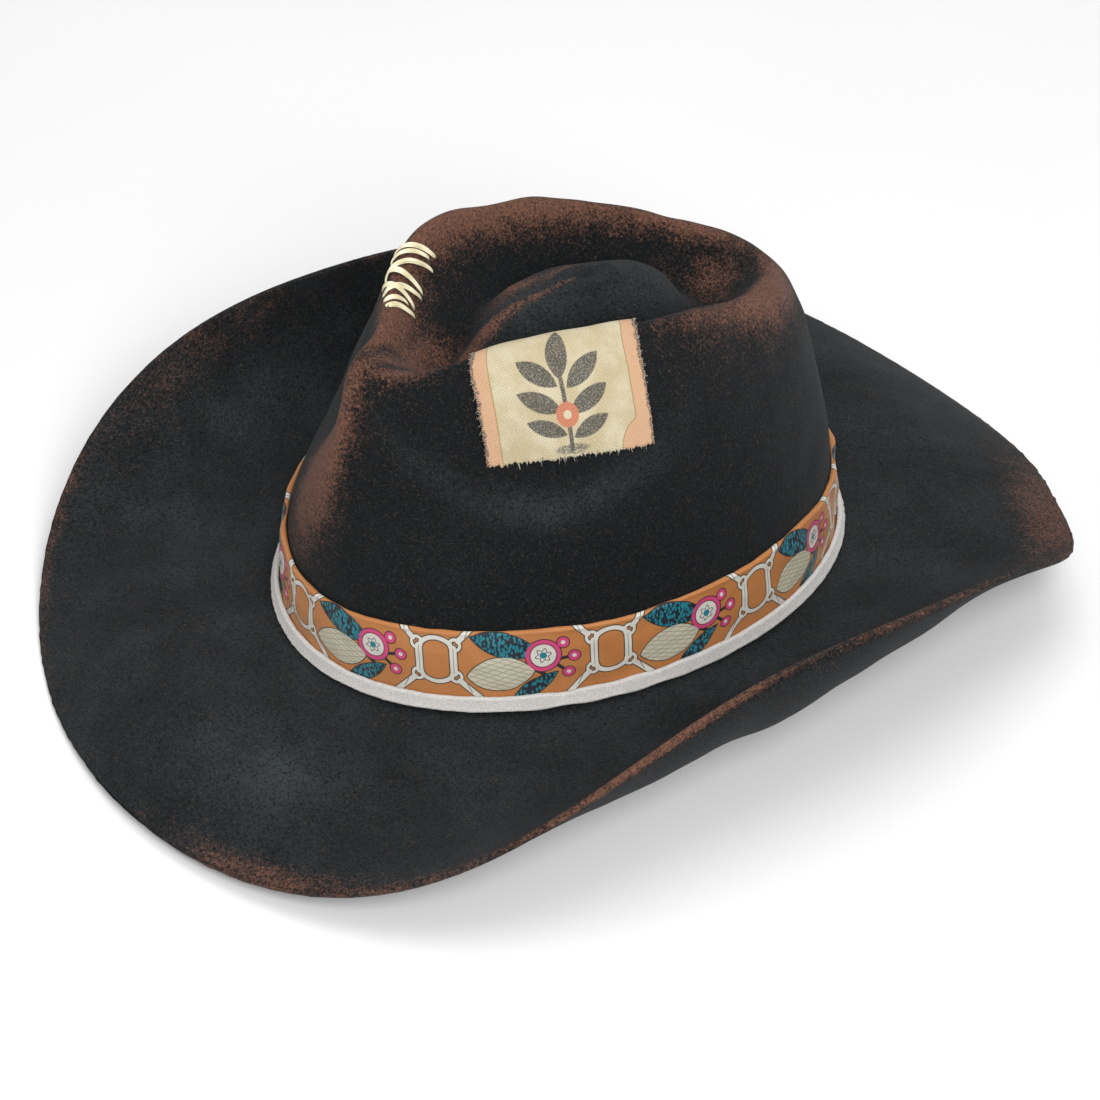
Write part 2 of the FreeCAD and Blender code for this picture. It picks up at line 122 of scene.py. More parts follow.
# Stitches: station and row of the outer end, the same of the inner end, and 1 if it crosses over.
FLOSS_STITCHES = (((304.5, 12.0), (299.5, 13.75), 0), ((307.5, 12.0), (301.5, 13.6), 0),
                  ((312.8, 11.9), (304.0, 13.9), 1), ((310.2, 11.9), (314.5, 13.9), 0),
                  ((317.5, 11.8), (316.5, 13.9), 0), ((313.5, 11.8), (322.0, 13.75), 1),
                  ((320.0, 11.8), (322.0, 13.5), 0), ((322.5, 11.7), (325.0, 13.85), 0))

# ------------------------------------------------------------------ camera
VIEW_TURN = 58.29             # degrees round from looking along +Y
VIEW_RISE = 39.22
VIEW_DISTANCE = 1230.0
VIEW_LENS = 105.97
VIEW_SHIFT = (-0.0105, -0.0077)

MM = 0.001


# ------------------------------------------------------------------ the felt's surface
def wave(parts, stations):
    """Value at stations of a smooth change round the hat."""
    total = np.full(np.shape(stations), float(parts["mean"]))
    for name, size in parts.items():
        if name != "mean":
            turn = np.radians(stations) * int(name[3:])
            total += size * (np.cos(turn) if name.startswith("cos") else np.sin(turn))
    return total


def stations_round(count):
    return np.arange(count) * 360.0 / count


def bump(value, middle, reach):
    """Bell-shaped weight, 1 at the middle."""
    return np.exp(-0.5 * ((value - middle) / reach) ** 2)


def apart(stations, other):
    """Signed angle between stations."""
    return (np.asarray(stations) - other + 180) % 360 - 180


def stack(x, y, z):
    """Points from their coordinates, which may be single numbers."""
    return np.stack(np.broadcast_arrays(x, y, z), axis=-1).astype(float)


def oval(stations):
    """Points of the break and the outward directions there."""
    turn = np.radians(stations)
    points = stack(BREAK_HALF_WIDTH * np.sin(turn), -BREAK_HALF_LENGTH * np.cos(turn),
                   -BREAK_SIDE_RISE * np.cos(2 * turn))
    out = stack(np.sin(turn) * BREAK_HALF_LENGTH, -np.cos(turn) * BREAK_HALF_WIDTH, 0)
    return points, out / np.linalg.norm(out, axis=-1, keepdims=True)


def brim_rows(stations):
    """Rows of poles across the brim, from its edge to the break."""
    foot, out = oval(stations)
    corner = bump(apart(stations, CORNER_STATION), 0, CORNER_SPREAD)
    corner += bump(apart(stations, -CORNER_STATION), 0, CORNER_SPREAD)
    start = wave(BRIM_START, stations)
    end = wave(BRIM_END, stations) - CORNER_FLATTER * corner
    share = (np.arange(ARC_STEPS) + 0.5)[:, None] / ARC_STEPS
    angle = np.radians(start + (end - start) * share ** BRIM_CURL_POWER)
    step = (wave(BRIM_WIDTH, stations) + CORNER_WIDER * corner) / ARC_STEPS
    reach = np.vstack([np.zeros(len(stations)), np.cumsum(step * np.cos(angle), axis=0)])
    rise = np.vstack([np.zeros(len(stations)), np.cumsum(step * np.sin(angle), axis=0)])
    rows = []
    for share in BRIM_ROWS:
        index = round(share * ARC_STEPS)
        rows.append(foot + out * reach[index][:, None] + stack(0, 0, rise[index]))
    return rows + [foot]


def crest(stations):
    """Points of the crown's rim."""
    turn = np.radians(stations)
    middle = (CREST_FRONT + CREST_BACK) / 2
    half = (CREST_BACK - CREST_FRONT) / 2
    height = wave(CROWN_HEIGHT, stations)
    for side in (1, -1):
        height -= CREST_DIP * bump(apart(stations, side * CREST_DIP_STATION), 0, CREST_DIP_WIDTH)
    across = CREST_HALF_WIDTH * np.sin(turn) * (1 - CREST_TAPER * np.cos(2 * turn))
    tuck = bump(apart(stations, TUCK_STATION), 0, TUCK_WIDTH)
    return stack(across + TUCK_IN * tuck, middle - half * np.cos(turn) + TUCK_BACK * tuck, height)


def wall_rows(stations):
    """Rows of poles up the crown's wall, pushed in at the two front pinches."""
    foot = oval(stations)[0]
    top = crest(stations)
    rows = []
    for plan_share, height_share in WALL_ROWS:
        row = foot + (top - foot) * plan_share
        row[:, 2] = foot[:, 2] + (top[:, 2] - foot[:, 2]) * height_share
        height = row[:, 2].copy()
        for station, depth, middle, reach, width in PINCHES:
            push = depth * bump(height, middle, reach) * bump(apart(stations, station), 0, width)
            row[:, 0] -= math.copysign(1, station) * push
            row[:, 1] += PINCH_BACK * push
        rows.append(row)
    return rows


def tip_rows(stations):
    """Rows of poles from the rim down the gutter and up on to the raised tip."""
    turn = np.radians(stations)
    top = crest(stations)
    centre = np.array([0, TIP_CENTRE, 0])
    middle = (CREST_FRONT + CREST_BACK) / 2
    rows = []
    for share, drop in TIP_ROWS:
        row = centre + (top - centre) * (1 - share)
        blend = min(1, max(0, (share - TIP_BLEND[0]) / (TIP_BLEND[1] - TIP_BLEND[0])))
        tip = TIP_HEIGHT + TIP_FALL * (middle - row[:, 1])
        row[:, 2] = top[:, 2] * (1 - blend) + tip * blend - drop
        rows.append(row)
    flat = TIP_HEIGHT + TIP_FALL * (middle - TIP_CENTRE) - BUTTON_DROP
    for half_width, half_length in BUTTON:
        rows.append(stack(half_width * np.sin(turn), TIP_CENTRE - half_length * np.cos(turn), flat))
    return rows


def make_cage():
    stations = stations_round(COLUMNS)
    return np.array(brim_rows(stations) + wall_rows(stations) + tip_rows(stations))


CAGE = make_cage()
ROW_COUNT = len(CAGE)
LAST_ROW = ROW_COUNT - 3.0
FOOT_ROW = len(BRIM_ROWS) - 1.0
RIM_ROW = FOOT_ROW + len(WALL_ROWS)


def round_weights(stations):
    """Weights of the columns of poles at stations: a cubic that closes round the hat."""
    along = np.asarray(stations, float) * COLUMNS / 360.0
    start = np.floor(along).astype(int)
    t = along - start
    weights = np.zeros((len(along), COLUMNS))
    parts = ((1 - t) ** 3, 3 * t ** 3 - 6 * t ** 2 + 4, -3 * t ** 3 + 3 * t ** 2 + 3 * t + 1, t ** 3)
    for step, part in zip((-1, 0, 1, 2), parts):
        weights[np.arange(len(along)), (start + step) % COLUMNS] += part / 6
    return weights


def row_weights(rows):
    """Weights of the rows of poles at surface rows: a cubic clamped at both ends."""
    knots = np.concatenate([[0] * 3, np.arange(ROW_COUNT - 2), [LAST_ROW] * 3]).astype(float)
    place_at = np.clip(np.asarray(rows, float), 0, LAST_ROW - 1e-9)[:, None]
    weights = ((place_at >= knots[:-1]) & (place_at < knots[1:])).astype(float)
    for degree in (1, 2, 3):
        count = len(knots) - 1 - degree
        lower = knots[degree:degree + count] - knots[:count]
        upper = knots[degree + 1:degree + 1 + count] - knots[1:1 + count]
        rising = (place_at - knots[:count]) / np.where(lower > 0, lower, 1) * (lower > 0)
        falling = knots[degree + 1:degree + 1 + count] - place_at
        falling = falling / np.where(upper > 0, upper, 1) * (upper > 0)
        weights = rising * weights[:, :count] + falling * weights[:, 1:count + 1]
    return weights


def felt_points(stations, rows):
    """Surface points at pairs of station and row."""
    across = (row_weights(rows) @ CAGE.reshape(ROW_COUNT, -1)).reshape(-1, COLUMNS, 3)
    return (across * round_weights(stations)[:, :, None]).sum(axis=1)


def felt_grid(stations, rows):
    """Surface points on a grid, rows by stations."""
    return np.einsum("vr,rcx,uc->vux", row_weights(rows), CAGE, round_weights(stations), optimize=True)


def grid_normals(grid):
    """Outward normals of a grid that closes round the hat."""
    around = np.roll(grid, -1, axis=1) - np.roll(grid, 1, axis=1)
    inwards = np.gradient(grid, axis=0)
    normals = np.cross(around, inwards)
    return normals / np.maximum(np.linalg.norm(normals, axis=-1, keepdims=True), 1e-9)


def on_felt(stations, rows, lift=0.0):
    """Points on the felt's outside, lifted off it, for arrays of one shape."""
    stations, rows, lift = (a.astype(float) for a in np.broadcast_arrays(stations, rows, lift))
    shape = stations.shape
    flat_stations = stations.ravel()
    flat_rows = np.clip(rows.ravel(), 0, LAST_ROW - 0.02)
    points = felt_points(flat_stations, flat_rows)
    around = felt_points(flat_stations + 0.2, flat_rows) - felt_points(flat_stations - 0.2, flat_rows)
    inwards = felt_points(flat_stations, flat_rows + 0.01) - points
    normals = np.cross(around, inwards)
    normals /= np.linalg.norm(normals, axis=1, keepdims=True)
    return (points + normals * lift.ravel()[:, None]).reshape(shape + (3,))


def level(stations, height):
    """Height that follows the break's rise and fall."""
    return height - BREAK_SIDE_RISE * np.cos(2 * np.radians(stations))


def wall(stations, heights, out=0.0):
    """Points beside the crown's wall at heights above the break, moved outwards in plan."""
    stations, heights, out = (a.astype(float) for a in np.broadcast_arrays(stations, heights, out))
    shape = stations.shape
    flat_stations = stations.ravel()
    low = np.full(flat_stations.shape, FOOT_ROW)
    high = np.full(flat_stations.shape, RIM_ROW)
    for _ in range(18):
        row = (low + high) / 2
        below = felt_points(flat_stations, row)[:, 2] < heights.ravel()
        low = np.where(below, row, low)
        high = np.where(below, high, row)
    base = on_felt(flat_stations, row)
    direction = on_felt(flat_stations, row, 1.0) - base
    direction[:, 2] = 0
    direction /= np.linalg.norm(direction, axis=1, keepdims=True)
    return (base + direction * out.ravel()[:, None]).reshape(shape + (3,))


def ripple(points, length, seed, count=12):
    """Smooth unevenness from -1 to 1 or so, that repeats over about this length in mm."""
    random = np.random.default_rng(seed)
    total = np.zeros(points.shape[:-1])
    for _ in range(count):
        direction = random.normal(size=3)
        direction /= np.linalg.norm(direction)
        pitch = 2 * math.pi / (length * random.uniform(0.7, 1.5))
        total += np.sin(points @ direction * pitch + random.uniform(0, 2 * math.pi))
    return total / math.sqrt(count / 2)


# ------------------------------------------------------------------ placing and meshes
def tilt_matrix():
    turn = math.radians(-STAND_TILT)
    return np.array([[1, 0, 0], [0, math.cos(turn), -math.sin(turn)], [0, math.sin(turn), math.cos(turn)]])


def find_shift():
    """Moves the tilted felt on to the CAD felt's box."""
    low, high = (np.array(corner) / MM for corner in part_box("felt_body"))
    grid = felt_grid(np.arange(0, 360, 1.0), np.linspace(0, 3, 40))
    skin = np.concatenate([grid, grid - grid_normals(grid) * FELT]).reshape(-1, 3) @ tilt_matrix().T
    middle = (skin.min(axis=0) + skin.max(axis=0)) / 2
    shift = (low + high) / 2 - middle
    shift[2] = low[2] - skin[:, 2].min()
    return shift


TILT = tilt_matrix()
SHIFT = find_shift()


def place(points):
    """Points in mm about the break, as metres in the frame."""
    return (np.asarray(points) @ TILT.T + SHIFT) * MM


def add_mesh(name, points, faces, uv=None, smooth=True):
    """Object from points in mm; uv holds one pair per face corner."""
    mesh = bpy.data.meshes.new(name)
    mesh.from_pydata(place(points).tolist(), [], faces)
    mesh.polygons.foreach_set("use_smooth", [smooth] * len(mesh.polygons))
    if uv is not None:
        layer = mesh.uv_layers.new(name="UVMap")
        layer.data.foreach_set("uv", np.asarray(uv, np.float32).ravel())
    mesh.update()
    piece = bpy.data.objects.new(name, mesh)
    bpy.context.collection.objects.link(piece)
    return piece


def grid_faces(rows, columns, wrap=False, wrap_rows=False, offset=0):
    """Faces of a grid, and each corner's row and column before wrapping."""
    row, column = np.meshgrid(np.arange(rows if wrap_rows else rows - 1),
                              np.arange(columns if wrap else columns - 1), indexing="ij")
    corner_rows = np.stack([row, row, row + 1, row + 1], axis=-1).reshape(-1, 4)
    corner_columns = np.stack([column, column + 1, column + 1, column], axis=-1).reshape(-1, 4)
    faces = (corner_rows % rows) * columns + corner_columns % columns + offset
    return faces, corner_rows, corner_columns


def grid_piece(name, grid, u=None, v=None, wrap=False, wrap_rows=False):
    """Object from a grid of points. u and v are positions in metres along columns and rows."""
    rows, columns = grid.shape[:2]
    faces, corner_rows, corner_columns = grid_faces(rows, columns, wrap, wrap_rows)
    uv = None
    if u is not None:
        uv = np.stack([u[corner_columns], v[corner_rows]], axis=-1)
    return add_mesh(name, grid.reshape(-1, 3), faces.tolist(), uv)


def lengths(points):
    """Length along a line of points up to each of them, in metres."""
    steps = np.linalg.norm(np.diff(points, axis=0), axis=1)
    return np.concatenate([[0], np.cumsum(steps)]) * MM


def attribute(piece, name, values):
    """Number at each point of a piece, for its material."""
    layer = piece.data.attributes.new(name, "FLOAT", "POINT")
    layer.data.foreach_set("value", np.asarray(values, np.float32).ravel())


def thicken(piece, thickness):
    """Gives a sheet its thickness in mm, half to each side."""
    solidify = piece.modifiers.new("thickness", "SOLIDIFY")
    solidify.thickness = thickness * MM
    solidify.offset = 0


def finish_piece(piece, slot, material, *nodes):
    """Puts a piece in the frame: its body, material and the CAD nodes it stands for; slot is not used."""
    piece.data.materials.append(material)
    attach(piece, "root")
    if nodes:
        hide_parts(*nodes)
    return piece


def tube_points(path, up, half_width, half_thick, sides=8, taper=None):
    """Grid of a flat oval tube along a path, with up the direction of its thin side."""
    ahead = np.gradient(path, axis=0)
    across = np.cross(ahead, up)
    across /= np.maximum(np.linalg.norm(across, axis=1, keepdims=True), 1e-9)
    rise = np.cross(across, ahead)
    rise /= np.maximum(np.linalg.norm(rise, axis=1, keepdims=True), 1e-9)
    turn = np.arange(sides) * 2 * math.pi / sides
    scale = np.ones(len(path)) if taper is None else taper
    ring = (across[:, None, :] * (half_width * np.cos(turn))[None, :, None]
            + rise[:, None, :] * (half_thick * np.sin(turn))[None, :, None])
    return path[:, None, :] + ring * scale[:, None, None]


def tubes_piece(name, tubes):
    """One object from several tube grids, their ends closed. UV runs round and along each tube."""
    points = []
    faces = []
    uv = []
    total = 0
    for tube in tubes:
        rows, sides = tube.shape[:2]
        part, corner_rows, corner_columns = grid_faces(rows, sides, wrap=True, offset=total)
        along = lengths(tube.mean(axis=1))
        faces += part.tolist()
        uv.append(np.stack([corner_columns / sides, along[corner_rows]], axis=-1).reshape(-1, 2))
        faces.append([total + side for side in range(sides)][::-1])
        faces.append([total + (rows - 1) * sides + side for side in range(sides)])
        uv.append(np.zeros((2 * sides, 2)))
        points.append(tube.reshape(-1, 3))
        total += rows * sides
    return add_mesh(name, np.concatenate(points), faces, np.concatenate(uv))


# ------------------------------------------------------------------ materials
def math_node(operation):
    """Method that applies a Math node to a value."""
    return lambda self, *others: self.math(operation, *others)


class Value:
    """A number in a material's nodes; arithmetic on it adds Math nodes."""

    __add__ = __radd__ = math_node("ADD")
    __sub__ = math_node("SUBTRACT")
    __mul__ = __rmul__ = math_node("MULTIPLY")
    __truediv__ = math_node("DIVIDE")
    abs = math_node("ABSOLUTE")
    sin = math_node("SINE")
    min = math_node("MINIMUM")
    max = math_node("MAXIMUM")

    def __init__(self, shade, socket):
        self.shade = shade
        self.socket = socket

    def math(self, operation, *others):
        node = self.shade.tree.nodes.new("ShaderNodeMath")
        node.operation = operation
        for socket, value in zip(node.inputs, (self,) + others):
            self.shade.feed(socket, value)
        return Value(self.shade, node.outputs[0])

    def range(self, low, high, out_low=0.0, out_high=1.0):
        """Smooth change from one value to another as this goes from low to high."""
        node = self.shade.tree.nodes.new("ShaderNodeMapRange")
        node.interpolation_type = "SMOOTHSTEP"
        for name, value in (("Value", self), ("From Min", low), ("From Max", high),
                            ("To Min", out_low), ("To Max", out_high)):
            self.shade.feed(node.inputs[name], value)
        return Value(self.shade, node.outputs["Result"])


class Shade:
    """A material under construction."""

    def __init__(self, name, **constants):
        self.material = bpy.data.materials.new(name)
        self.material.use_nodes = True
        self.tree = self.material.node_tree
        self.shader = self.tree.nodes["Principled BSDF"]
        for socket, value in constants.items():
            self.shader.inputs[socket.replace("_", " ")].default_value = value
        self.coordinates = self.tree.nodes.new("ShaderNodeTexCoord")

    def feed(self, socket, value):
        """Links a value or socket, or sets a constant."""
        if isinstance(value, Value):
            value = value.socket
        if isinstance(value, bpy.types.NodeSocket):
            self.tree.links.new(value, socket)
        else:
            socket.default_value = value

    def place_value(self, name):
        """Number that a piece holds at its points."""
        node = self.tree.nodes.new("ShaderNodeAttribute")
        node.attribute_name = name
        return Value(self, node.outputs["Fac"])

    def stretched(self, scale, uv=False):
        """Coordinates in metres, stretched."""
        node = self.tree.nodes.new("ShaderNodeMapping")
        self.feed(node.inputs["Vector"], self.coordinates.outputs["UV" if uv else "Object"])
        node.inputs["Scale"].default_value = scale
        return node.outputs["Vector"]

    def uv_mm(self):
        """Position across and along a sheet, in mm."""
        node = self.tree.nodes.new("ShaderNodeSeparateXYZ")
        self.feed(node.inputs[0], self.stretched((1000, 1000, 1000), uv=True))
        return Value(self, node.outputs["X"]), Value(self, node.outputs["Y"])

    def noise(self, size, detail=2.0, rough=0.5, vector=None, distortion=0.0):
        """Noise from 0 to 1, with patches of a size in mm."""
        node = self.tree.nodes.new("ShaderNodeTexNoise")
        self.feed(node.inputs["Vector"], vector or self.coordinates.outputs["Object"])
        for name, value in (("Scale", 1 / (size * MM)), ("Detail", detail), ("Roughness", rough),
                            ("Distortion", distortion)):
            node.inputs[name].default_value = value
        return Value(self, node.outputs["Fac"])

    def cells(self, size, vector=None):
        """Distance to the nearest of many scattered points a size in mm apart, in that size."""
        node = self.tree.nodes.new("ShaderNodeTexVoronoi")
        self.feed(node.inputs["Vector"], vector or self.coordinates.outputs["Object"])
        node.inputs["Scale"].default_value = 1 / (size * MM)
        return Value(self, node.outputs["Distance"])

    def mix(self, factor, first, second):
        """Colour between two colours."""
        node = self.tree.nodes.new("ShaderNodeMix")
        node.data_type = "RGBA"
        self.feed(node.inputs["Factor"], factor)
        for socket, colour in ((node.inputs["A"], first), (node.inputs["B"], second)):
            if isinstance(colour, tuple):
                colour = colour + (1.0,)
            self.feed(socket, colour)
        return node.outputs["Result"]

    def relief(self, height, depth, strength):
        """Bump of a depth in mm, on top of what is there."""
        node = self.tree.nodes.new("ShaderNodeBump")
        node.inputs["Strength"].default_value = strength
        node.inputs["Distance"].default_value = depth * MM
        self.feed(node.inputs["Height"], height)
        linked = self.shader.inputs["Normal"].links
        if linked:
            self.feed(node.inputs["Normal"], linked[0].from_socket)
        self.feed(self.shader.inputs["Normal"], node.outputs["Normal"])

    def finish(self, colour, rough, *reliefs):
        """Sets colour, roughness and reliefs, each with its height, depth in mm and strength."""
        self.feed(self.shader.inputs["Base Color"], colour)
        self.feed(self.shader.inputs["Roughness"], rough)
        for relief in reliefs:
            self.relief(*relief)
        return self.material


def length_of(x, y):
    return (x * x + y * y).math("SQRT")


def line_shape(x, y, ax, ay, bx, by):
    """Distance from a straight line between two points."""
    dx = bx - ax
    dy = by - ay
    along = ((x - ax) * dx + (y - ay) * dy) * (1 / (dx * dx + dy * dy))
    along = along.max(0.0).min(1.0)
    return length_of(x - ax - along * dx, y - ay - along * dy)


def loop_shape(x, y, cx, cy, rx, ry):
    """Distance from an oval line."""
    return (length_of((x - cx) / rx, (y - cy) / ry) - 1.0).abs() * min(rx, ry)


def leaf_shape(x, y, cx, cy, turn, half_length, half_width):
    """Distance inside or outside a pointed leaf; turn is its long side's angle from x."""
    cosine = math.cos(math.radians(turn))
    sine = math.sin(math.radians(turn))
    along = (x - cx) * cosine + (y - cy) * sine
    across = (y - cy) * cosine - (x - cx) * sine
    radius = (half_length ** 2 + half_width ** 2) / (2 * half_width)
    return length_of(along, across.abs() + (radius - half_width)) - radius


def inside(distance, soft=0.12):
    """1 where a distance is negative."""
    return distance.range(soft, -soft)


FELT_BLACK = (0.0060, 0.0073, 0.0080)
FELT_FIBRE = (0.058, 0.058, 0.054)
# Lighter grey for dust, also used for painted highlights.
FELT_DUST_AND_HIGHLIGHT = (0.040, 0.048, 0.052)
FELT_WORN = (0.190, 0.088, 0.056)
FELT_WORN_DARK = (0.066, 0.033, 0.024)
FELT_PIT = (0.0025, 0.0032, 0.0036)


def felt_material():
    """Blue-black fur felt: short fibres, rubbed reddish-brown places, dust, painted highlights and shade.
    """
    shade = Shade("felt", Sheen_Weight=0.06, Sheen_Roughness=0.5, Sheen_Tint=(0.80, 0.84, 0.88, 1),
                  Specular_IOR_Level=0.12)
    fibre = shade.noise(0.7, 3, 0.75, distortion=1.2)
    grit = shade.noise(1.0, 2, 0.8, distortion=0.5)
    nap = shade.noise(2.6, 3, 0.65)
    cloud = shade.noise(30, 4, 0.55)
    # Lighter colour where the attribute says: dust, painted highlights, and painted shade where kept low.
    dust_and_painted_light_mask = shade.place_value("dust_and_painted_light") * cloud.range(0.25, 0.75, 0.55, 1.35) + (nap - 0.5) * 0.30
    colour = shade.mix(dust_and_painted_light_mask.range(0.0, 1.0), FELT_BLACK, FELT_DUST_AND_HIGHLIGHT)
    colour = shade.mix(fibre.range(0.53, 0.68) * 0.60, colour, FELT_FIBRE)
    colour = shade.mix(grit.range(0.54, 0.34) * 0.85, colour, FELT_PIT)
    rubbed = (shade.place_value("wear") + (shade.noise(8, 4, 0.65) - 0.5) * 0.7 + (fibre - 0.5) * 1.0
              + (grit - 0.5) * 1.0)
    worn = shade.mix((fibre + grit).range(0.75, 1.25), FELT_WORN_DARK, FELT_WORN)
    colour = shade.mix(rubbed.range(0.16, 0.90), colour, worn)
    lint = shade.cells(1.3).range(0.15, 0.06) * shade.noise(5, 2).range(0.52, 0.66)
    colour = shade.mix(lint * 0.5, colour, (0.20, 0.16, 0.13))
    return shade.finish(colour, nap.range(0.2, 0.8, 0.88, 0.98), (nap, 0.35, 0.5), (fibre, 0.35, 0.8))


SILK_RUST = (0.560, 0.225, 0.066)
SILK_DEEP = (0.400, 0.135, 0.036)
INK_DARK = (0.022, 0.018, 0.016)
INK_WHITE = (0.70, 0.68, 0.61)
INK_CREAM = (0.62, 0.58, 0.45)
INK_OLIVE = (0.25, 0.24, 0.13)
INK_TEAL = (0.010, 0.210, 0.270)
INK_NAVY = (0.012, 0.016, 0.028)
INK_PINK = (0.640, 0.060, 0.200)
PRINT_REPEAT = 62.6           # mm along the band
CHAIN_MIDDLE = 18.2           # mm up from the scarf's lower edge
SPRAY_MIDDLE = 16.2
INK_LINE = 0.38
BERRIES = ((14.0, 8.0), (17.8, 2.2), (15.6, -4.4))


def chain_print(shade, colour, x, y):
    """Square of four linked loops with a strap from each corner."""
    across = x.abs()
    up = (y - CHAIN_MIDDLE).abs()
    link = line_shape(across, up, 6.3, 0.0, 6.3, 5.0)
    bow = (loop_shape(across, up, 0, 3.4, 6.6, 5.4) - 0.80).max(across - 6.2).max(up * -1.0 + 4.2)
    ring = loop_shape(across, up, 7.0, 6.4, 1.9, 2.1)
    strap = line_shape(across, up, 8.4, 8.0, 17.0, 16.8) - 1.05
    shape = (link - 1.30).min(bow).min(ring - 0.55).min(strap)
    colour = shade.mix(inside(shape - INK_LINE), colour, INK_DARK)
    colour = shade.mix(inside(shape), colour, INK_WHITE)
    seam = (link - 0.12).min((ring + 0.25).abs() - 0.10)
    seam = seam.min(line_shape(across, up, 10.8, 9.2, 12.4, 12.8) - 0.16)
    return shade.mix(inside(seam, 0.10) * 0.75, colour, INK_DARK)


def leaf_print(shade, colour, x, y):
    """Generic spray: a hatched cream leaf, two speckled leaves, a round flower and three berries."""
    up = y - SPRAY_MIDDLE
    cream = leaf_shape(x, up, -8.5, -3.2, 4, 12.0, 6.8)
    teal = leaf_shape(x, up, -6.5, 8.2, -16, 12.5, 4.6).min(leaf_shape(x, up, 3.2, -9.4, 34, 10.0, 2.9))
    flower = length_of(x - 6.8, up - 3.4)
    stalk = line_shape(x, up, 4.0, -2.0, 8.0, -5.0) - 0.4
    berries = None
    for berry_x, berry_y in BERRIES:
        stem = line_shape(x, up, 9.5, 1.0, berry_x, berry_y) - 0.30
        ball = length_of(x - berry_x, up - berry_y) - 2.1
        stalk = stalk.min(stem)
        berries = ball if berries is None else berries.min(ball)
    outline = stalk.min(teal).min(cream).min(flower - 6.3).min(berries)
    colour = shade.mix(inside(outline - INK_LINE), colour, INK_DARK)
    specks = shade.cells(1.0, shade.stretched((1.15, 0.62, 1), uv=True)).range(0.58, 0.44)
    colour = shade.mix(inside(teal), colour, INK_NAVY)
    colour = shade.mix(inside(teal) * specks, colour, INK_TEAL)
    hatch = (x * 1.2 + up * 3.4).sin().range(0.72, 0.95)
    hatch = hatch.max((x * -1.0 + up * 2.6).sin().range(0.85, 0.98))
    colour = shade.mix(inside(cream), colour, INK_CREAM)
    colour = shade.mix(inside(cream) * hatch * 0.7, colour, INK_OLIVE)
    petals = ((x - 6.8).math("ARCTAN2", up - 3.4) * 6.0).sin() * 0.55
    colour = shade.mix(inside(flower - 6.3), colour, INK_PINK)
    colour = shade.mix(inside((flower - 4.7).abs() - 0.16), colour, INK_DARK)
    colour = shade.mix(inside(flower - 4.5), colour, INK_WHITE)
    colour = shade.mix(inside((flower - 2.3 - petals).abs() - 0.20), colour, INK_DARK)
    colour = shade.mix(inside(flower - 1.3), colour, INK_TEAL)
    colour = shade.mix(inside(berries), colour, INK_PINK)
    return shade.mix(inside(berries + 1.3), colour, INK_WHITE)


def silk_material():
    """Rust silk twill with the printed chain and sprig."""
    shade = Shade("silk", Sheen_Weight=0.25, Sheen_Roughness=0.35, Sheen_Tint=(1.0, 0.82, 0.65, 1),
                  Specular_IOR_Level=0.42)
    x, y = shade.uv_mm()
    chain_x = ((x / PRINT_REPEAT + 0.5).math("FRACT") - 0.5) * PRINT_REPEAT
    leaf_x = ((x / PRINT_REPEAT).math("FRACT") - 0.5) * PRINT_REPEAT
    slub = shade.noise(1.0, 3, 0.6, shade.stretched((1, 5, 1), uv=True))
    colour = shade.mix(slub.range(0.30, 0.72) * 0.6, SILK_RUST, SILK_DEEP)
    colour = shade.mix(shade.noise(22, 2).range(0.45, 0.75) * 0.35, colour, SILK_DEEP)
    colour = chain_print(shade, colour, chain_x, y)
    colour = leaf_print(shade, colour, leaf_x, y)
    twill = ((x + y * 1.6) * (2 * math.pi / 0.62)).sin()
    colour = shade.mix(twill.range(0.2, 1.0) * 0.13, colour, INK_DARK)
    return shade.finish(colour, slub.range(0.2, 0.8, 0.42, 0.62), (twill, 0.05, 0.6), (slub, 0.12, 0.4))


def suede_material():
    """Off-white suede with a short nap."""
    shade = Shade("suede", Sheen_Weight=0.35, Sheen_Roughness=0.5, Specular_IOR_Level=0.2)
    nap = shade.noise(0.5, 4, 0.7)
    patches = shade.noise(7, 3)
    colour = shade.mix(nap.range(0.30, 0.70), (0.46, 0.44, 0.42), (0.72, 0.70, 0.67))
    colour = shade.mix(patches.range(0.55, 0.8) * 0.35, colour, (0.36, 0.33, 0.30))
    return shade.finish(colour, nap.range(0.2, 0.8, 0.85, 0.97), (nap, 0.16, 0.7), (patches, 0.4, 0.3))


LINEN_CREAM = (0.56, 0.47, 0.29)
LINEN_LIGHT = (0.66, 0.59, 0.42)
LINEN_PEACH = (0.66, 0.37, 0.22)
LINEN_OLIVE = (0.28, 0.21, 0.07)
LINEN_INK = (0.040, 0.044, 0.056)
LINEN_CORAL = (0.58, 0.20, 0.12)
LINEN_WIDE = 61.0             # mm, front to back
LINEN_BORDER = 6.0
LINEN_NOTCH = 8.0
SPRIG = ((30.5, 36.5, 88, 8.6, 3.8), (22.5, 31.0, 140, 8.4, 3.4), (38.6, 30.0, 40, 8.4, 3.4),
         (21.8, 21.0, 150, 8.4, 3.4), (39.2, 20.0, 31, 8.4, 3.4), (23.0, 11.4, 156, 7.4, 3.0),
         (38.6, 10.4, 26, 7.4, 3.0))


